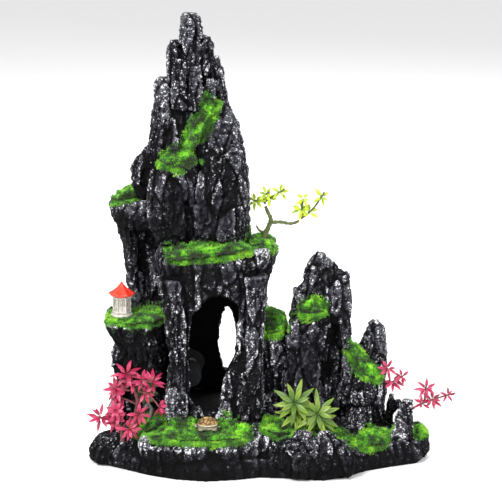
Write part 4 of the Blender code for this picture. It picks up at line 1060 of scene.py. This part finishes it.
SKIN_GRID, SHELL_GRID = 0.22, 0.20
WRINKLE_SIZE, WRINKLE_DEPTH = (1.1, 0.8, 0.8), 0.22
SCUTE_SIZE, SCUTE_GROOVE = (3.0, 3.0, 6.0), 0.14


def make_turtle():
    skin = painted_material("turtle_skin", [
        (0.3, (0.05, 0.045, 0.03)), (0.55, (0.22, 0.20, 0.14)), (0.8, (0.48, 0.45, 0.36)),
    ], 900, 0.6)
    body = remeshed("turtle_body", SKIN_GRID)
    points = averaged(places(body), edge_ends(body), 5)
    push_out(body, points, WRINKLE_DEPTH * layered_noise(points, WRINKLE_SIZE, 3, 81))
    body.materials.append(skin)
    store("turtle_body_skin", body, ["turtle_body"])

    shell = remeshed("turtle_shell", SHELL_GRID)
    points = averaged(places(shell), edge_ends(shell), 12)
    value, edge = blocks_at(points, SCUTE_SIZE, 91)
    low = points[:, 2].min()
    crown = fade(points[:, 2], low + 1.0, low + 2.0)
    cut = groove(edge, SCUTE_GROOVE)
    push_out(shell, points, crown * (0.35 * value + 0.15 - 0.45 * cut))
    attribute(shell, "scute", np.clip(0.35 + 0.6 * value - 0.6 * cut, 0, 1))
    attribute(shell, "rim", (1 - fade(points[:, 2], low + 0.7, low + 1.3)) * 0.85)
    shell.materials.append(shell_material())
    store("turtle_shell_scutes", shell, ["turtle_shell"])


# ---------------- the air stone cartridge


# Outer profiles as (radius, y), from the front to the back.
BARB = [
    (1.9, 15.5), (2.6, 16.6), (2.2, 18.2), (2.2, 20.2), (2.7, 20.3), (2.7, 35.1), (4.6, 35.2), (4.8, 35.4),
    (4.8, 36.4), (4.6, 36.6), (2.0, 36.7), (2.0, 39.0), (2.6, 39.3), (2.0, 41.2), (2.0, 41.6), (2.6, 41.9),
    (1.9, 44.2), (1.7, 44.6),
]
SLEEVE = [(3.8, 8.6), (4.0, 8.8), (4.0, 19.6), (3.8, 19.8)]
NIPPLE = [(3.4, 4.6), (3.6, 4.8), (3.6, 6.1), (2.1, 6.3), (2.1, 10.5), (2.6, 11.0), (2.1, 13.2), (1.9, 13.6)]
STOPPER_FRONT = [(8.55, 22.6), (8.7, 22.9)]
STOPPER_FLANGE = [
    (9.0, 31.5), (11.2, 31.7), (11.5, 32.0), (11.5, 33.9), (11.1, 34.4), (10.7, 34.8), (7.2, 34.8),
    (7.0, 34.4), (4.8, 34.4), (4.6, 34.8),
]
# The stopper's ribs: where each starts, their radius, and the plug's radius at its taper's start.
RIB_STARTS, RIB_RADIUS = (24.4, 26.6, 28.8), 8.95
PLUG_RADIUS, PLUG_TAPER_FROM, PLUG_TAPER = 8.62, 24, 0.05
SHARP_ANGLE = 40
STONE_GRID, GRAIN_SIZE = 0.35, 0.9


def lathed(name, outer, bore, sides=64):
    """A turned piece on the stopper's axis with a bore through it."""
    profile = [(bore, outer[0][1])] + list(outer) + [(bore, outer[-1][1])]
    rings = [
        [(STOPPER_X + r * math.cos(t), y, STOPPER_Z + r * math.sin(t))
         for t in round_angles(sides)] for r, y in profile
    ]
    points, faces = tube(rings)
    faces = faces[:-2]
    last = len(points) - sides
    faces += [(last + i, last + (i + 1) % sides, (i + 1) % sides, i) for i in range(sides)]
    mesh = mesh_from(name, points, faces)
    mesh.set_sharp_from_angle(angle=math.radians(SHARP_ANGLE))
    return mesh


def stopper_profile():
    rings = list(STOPPER_FRONT)
    for y in RIB_STARTS:
        plug = PLUG_RADIUS + PLUG_TAPER * (y - PLUG_TAPER_FROM)
        rings += [(plug, y), (RIB_RADIUS, y + 0.35), (RIB_RADIUS, y + 0.75), (plug + 0.03, y + 1.1)]
    return rings + STOPPER_FLANGE


def make_cartridge():
    rubber = painted_material("black_rubber", [(0.3, grey(0.010)), (0.8, grey(0.030))], 1500, 0.6, 0.0002)
    clear = painted_material("clear_plastic", [
        (0.3, (0.55, 0.60, 0.63)), (0.8, (0.72, 0.76, 0.78)),
    ], 300, 0.16, 0.0001)
    clear.node_tree.nodes["Principled BSDF"].inputs["Transmission Weight"].default_value = 0.55
    mineral = painted_material("mineral", [
        (0.3, grey(0.002)), (0.6, (0.005, 0.006, 0.008)), (0.9, (0.02, 0.024, 0.03)),
    ], 2600, 0.95, 0.0006)
    for node, slot, look, profile, bore in (
        ("rear_stopper", "black_rubber", rubber, stopper_profile(), 3.1),
        ("air_inlet_barb", "clear_plastic", clear, BARB, 1.1),
        ("coupling_sleeve", "clear_plastic", clear, SLEEVE, 3.0),
        ("stone_nipple", "clear_plastic", clear, NIPPLE, 1.0),
    ):
        mesh = lathed(node, profile, bore)
        mesh.materials.append(look)
        store(node + "_moulding", mesh, [node], CARTRIDGE_BODY)
    stone = remeshed("air_stone", STONE_GRID)
    points = averaged(places(stone), edge_ends(stone), 3)
    grains, edge = blocks_at(points, GRAIN_SIZE, 95)
    push_out(stone, points, 0.28 * (grains - 0.6) - 0.14 * groove(edge, 0.2))
    stone.materials.append(mineral)
    store("air_stone_grains", stone, ["air_stone"], CARTRIDGE_BODY)


for number, node_name in enumerate(ROCK_NODES):
    make_casting(number, node_name)
for number, node_name in enumerate(MOSS_NODES):
    make_moss(number, node_name)
for number, node_name in enumerate(PLANTS):
    make_plant(number, node_name)
make_pavilion()
make_turtle()
make_cartridge()


# ---------------- floor, light and camera


FLOOR_REACH = 4000
FLOOR_COLOUR = (0.86, 0.86, 0.86, 1)
WORLD_COLOUR, WORLD_STRENGTH = (1, 1, 1, 1), 0.85
# Each light: name, place, the height that it aims at on the ornament's axis, size, all in metres, and watts.
LIGHTS = (
    ("key", (-0.7, -0.9, 1.1), 0.12, 0.6, 26),
    ("fill", (0.9, -0.8, 0.6), 0.12, 0.9, 9),
    ("rim", (0.3, 0.9, 1.0), 0.15, 0.7, 12),
)
# The camera's place is in metres, and it looks down by an angle in degrees.
CAMERA_PLACE = (-0.0051, -1.4554, 0.5042)
CAMERA_LENS, CAMERA_SENSOR, CAMERA_NEAREST = 162.69, 36.0, 0.01
CAMERA_LOOKS_DOWN = 14


def make_stage():
    """A pale floor under soft light from all round."""
    made, _, shader = new_material("floor", 0.9, 0.1)
    shader.inputs["Base Color"].default_value = FLOOR_COLOUR
    corners = [(x * FLOOR_REACH, y * FLOOR_REACH, 0) for x, y in ((-1, -1), (1, -1), (1, 1), (-1, 1))]
    floor = bpy.data.objects.new("floor", mesh_from("floor", corners, [(0, 1, 2, 3)]))
    floor.data.materials.append(made)
    link(floor)
    world = bpy.data.worlds.new("studio")
    world.use_nodes = True
    world.node_tree.nodes["Background"].inputs["Color"].default_value = WORLD_COLOUR
    world.node_tree.nodes["Background"].inputs["Strength"].default_value = WORLD_STRENGTH
    bpy.context.scene.world = world


def make_light(name, place, aim_height, size, watts):
    """A square area light that looks at the ornament's axis."""
    data = bpy.data.lights.new(name, "AREA")
    data.size = size
    data.energy = watts
    light = bpy.data.objects.new(name, data)
    light.location = place
    aim = Vector((0, 0, aim_height)) - Vector(place)
    light.rotation_euler = aim.to_track_quat("-Z", "Y").to_euler()
    link(light)


def make_camera():
    data = bpy.data.cameras.new("camera")
    data.lens = CAMERA_LENS
    data.sensor_width = CAMERA_SENSOR
    data.clip_start = CAMERA_NEAREST
    camera = bpy.data.objects.new("camera", data)
    camera.location = CAMERA_PLACE
    camera.rotation_euler = (math.radians(90 - CAMERA_LOOKS_DOWN), 0, 0)
    link(camera)
    bpy.context.scene.camera = camera


make_stage()
for light_values in LIGHTS:
    make_light(*light_values)
make_camera()
bpy.context.scene.view_settings.view_transform = "Standard"
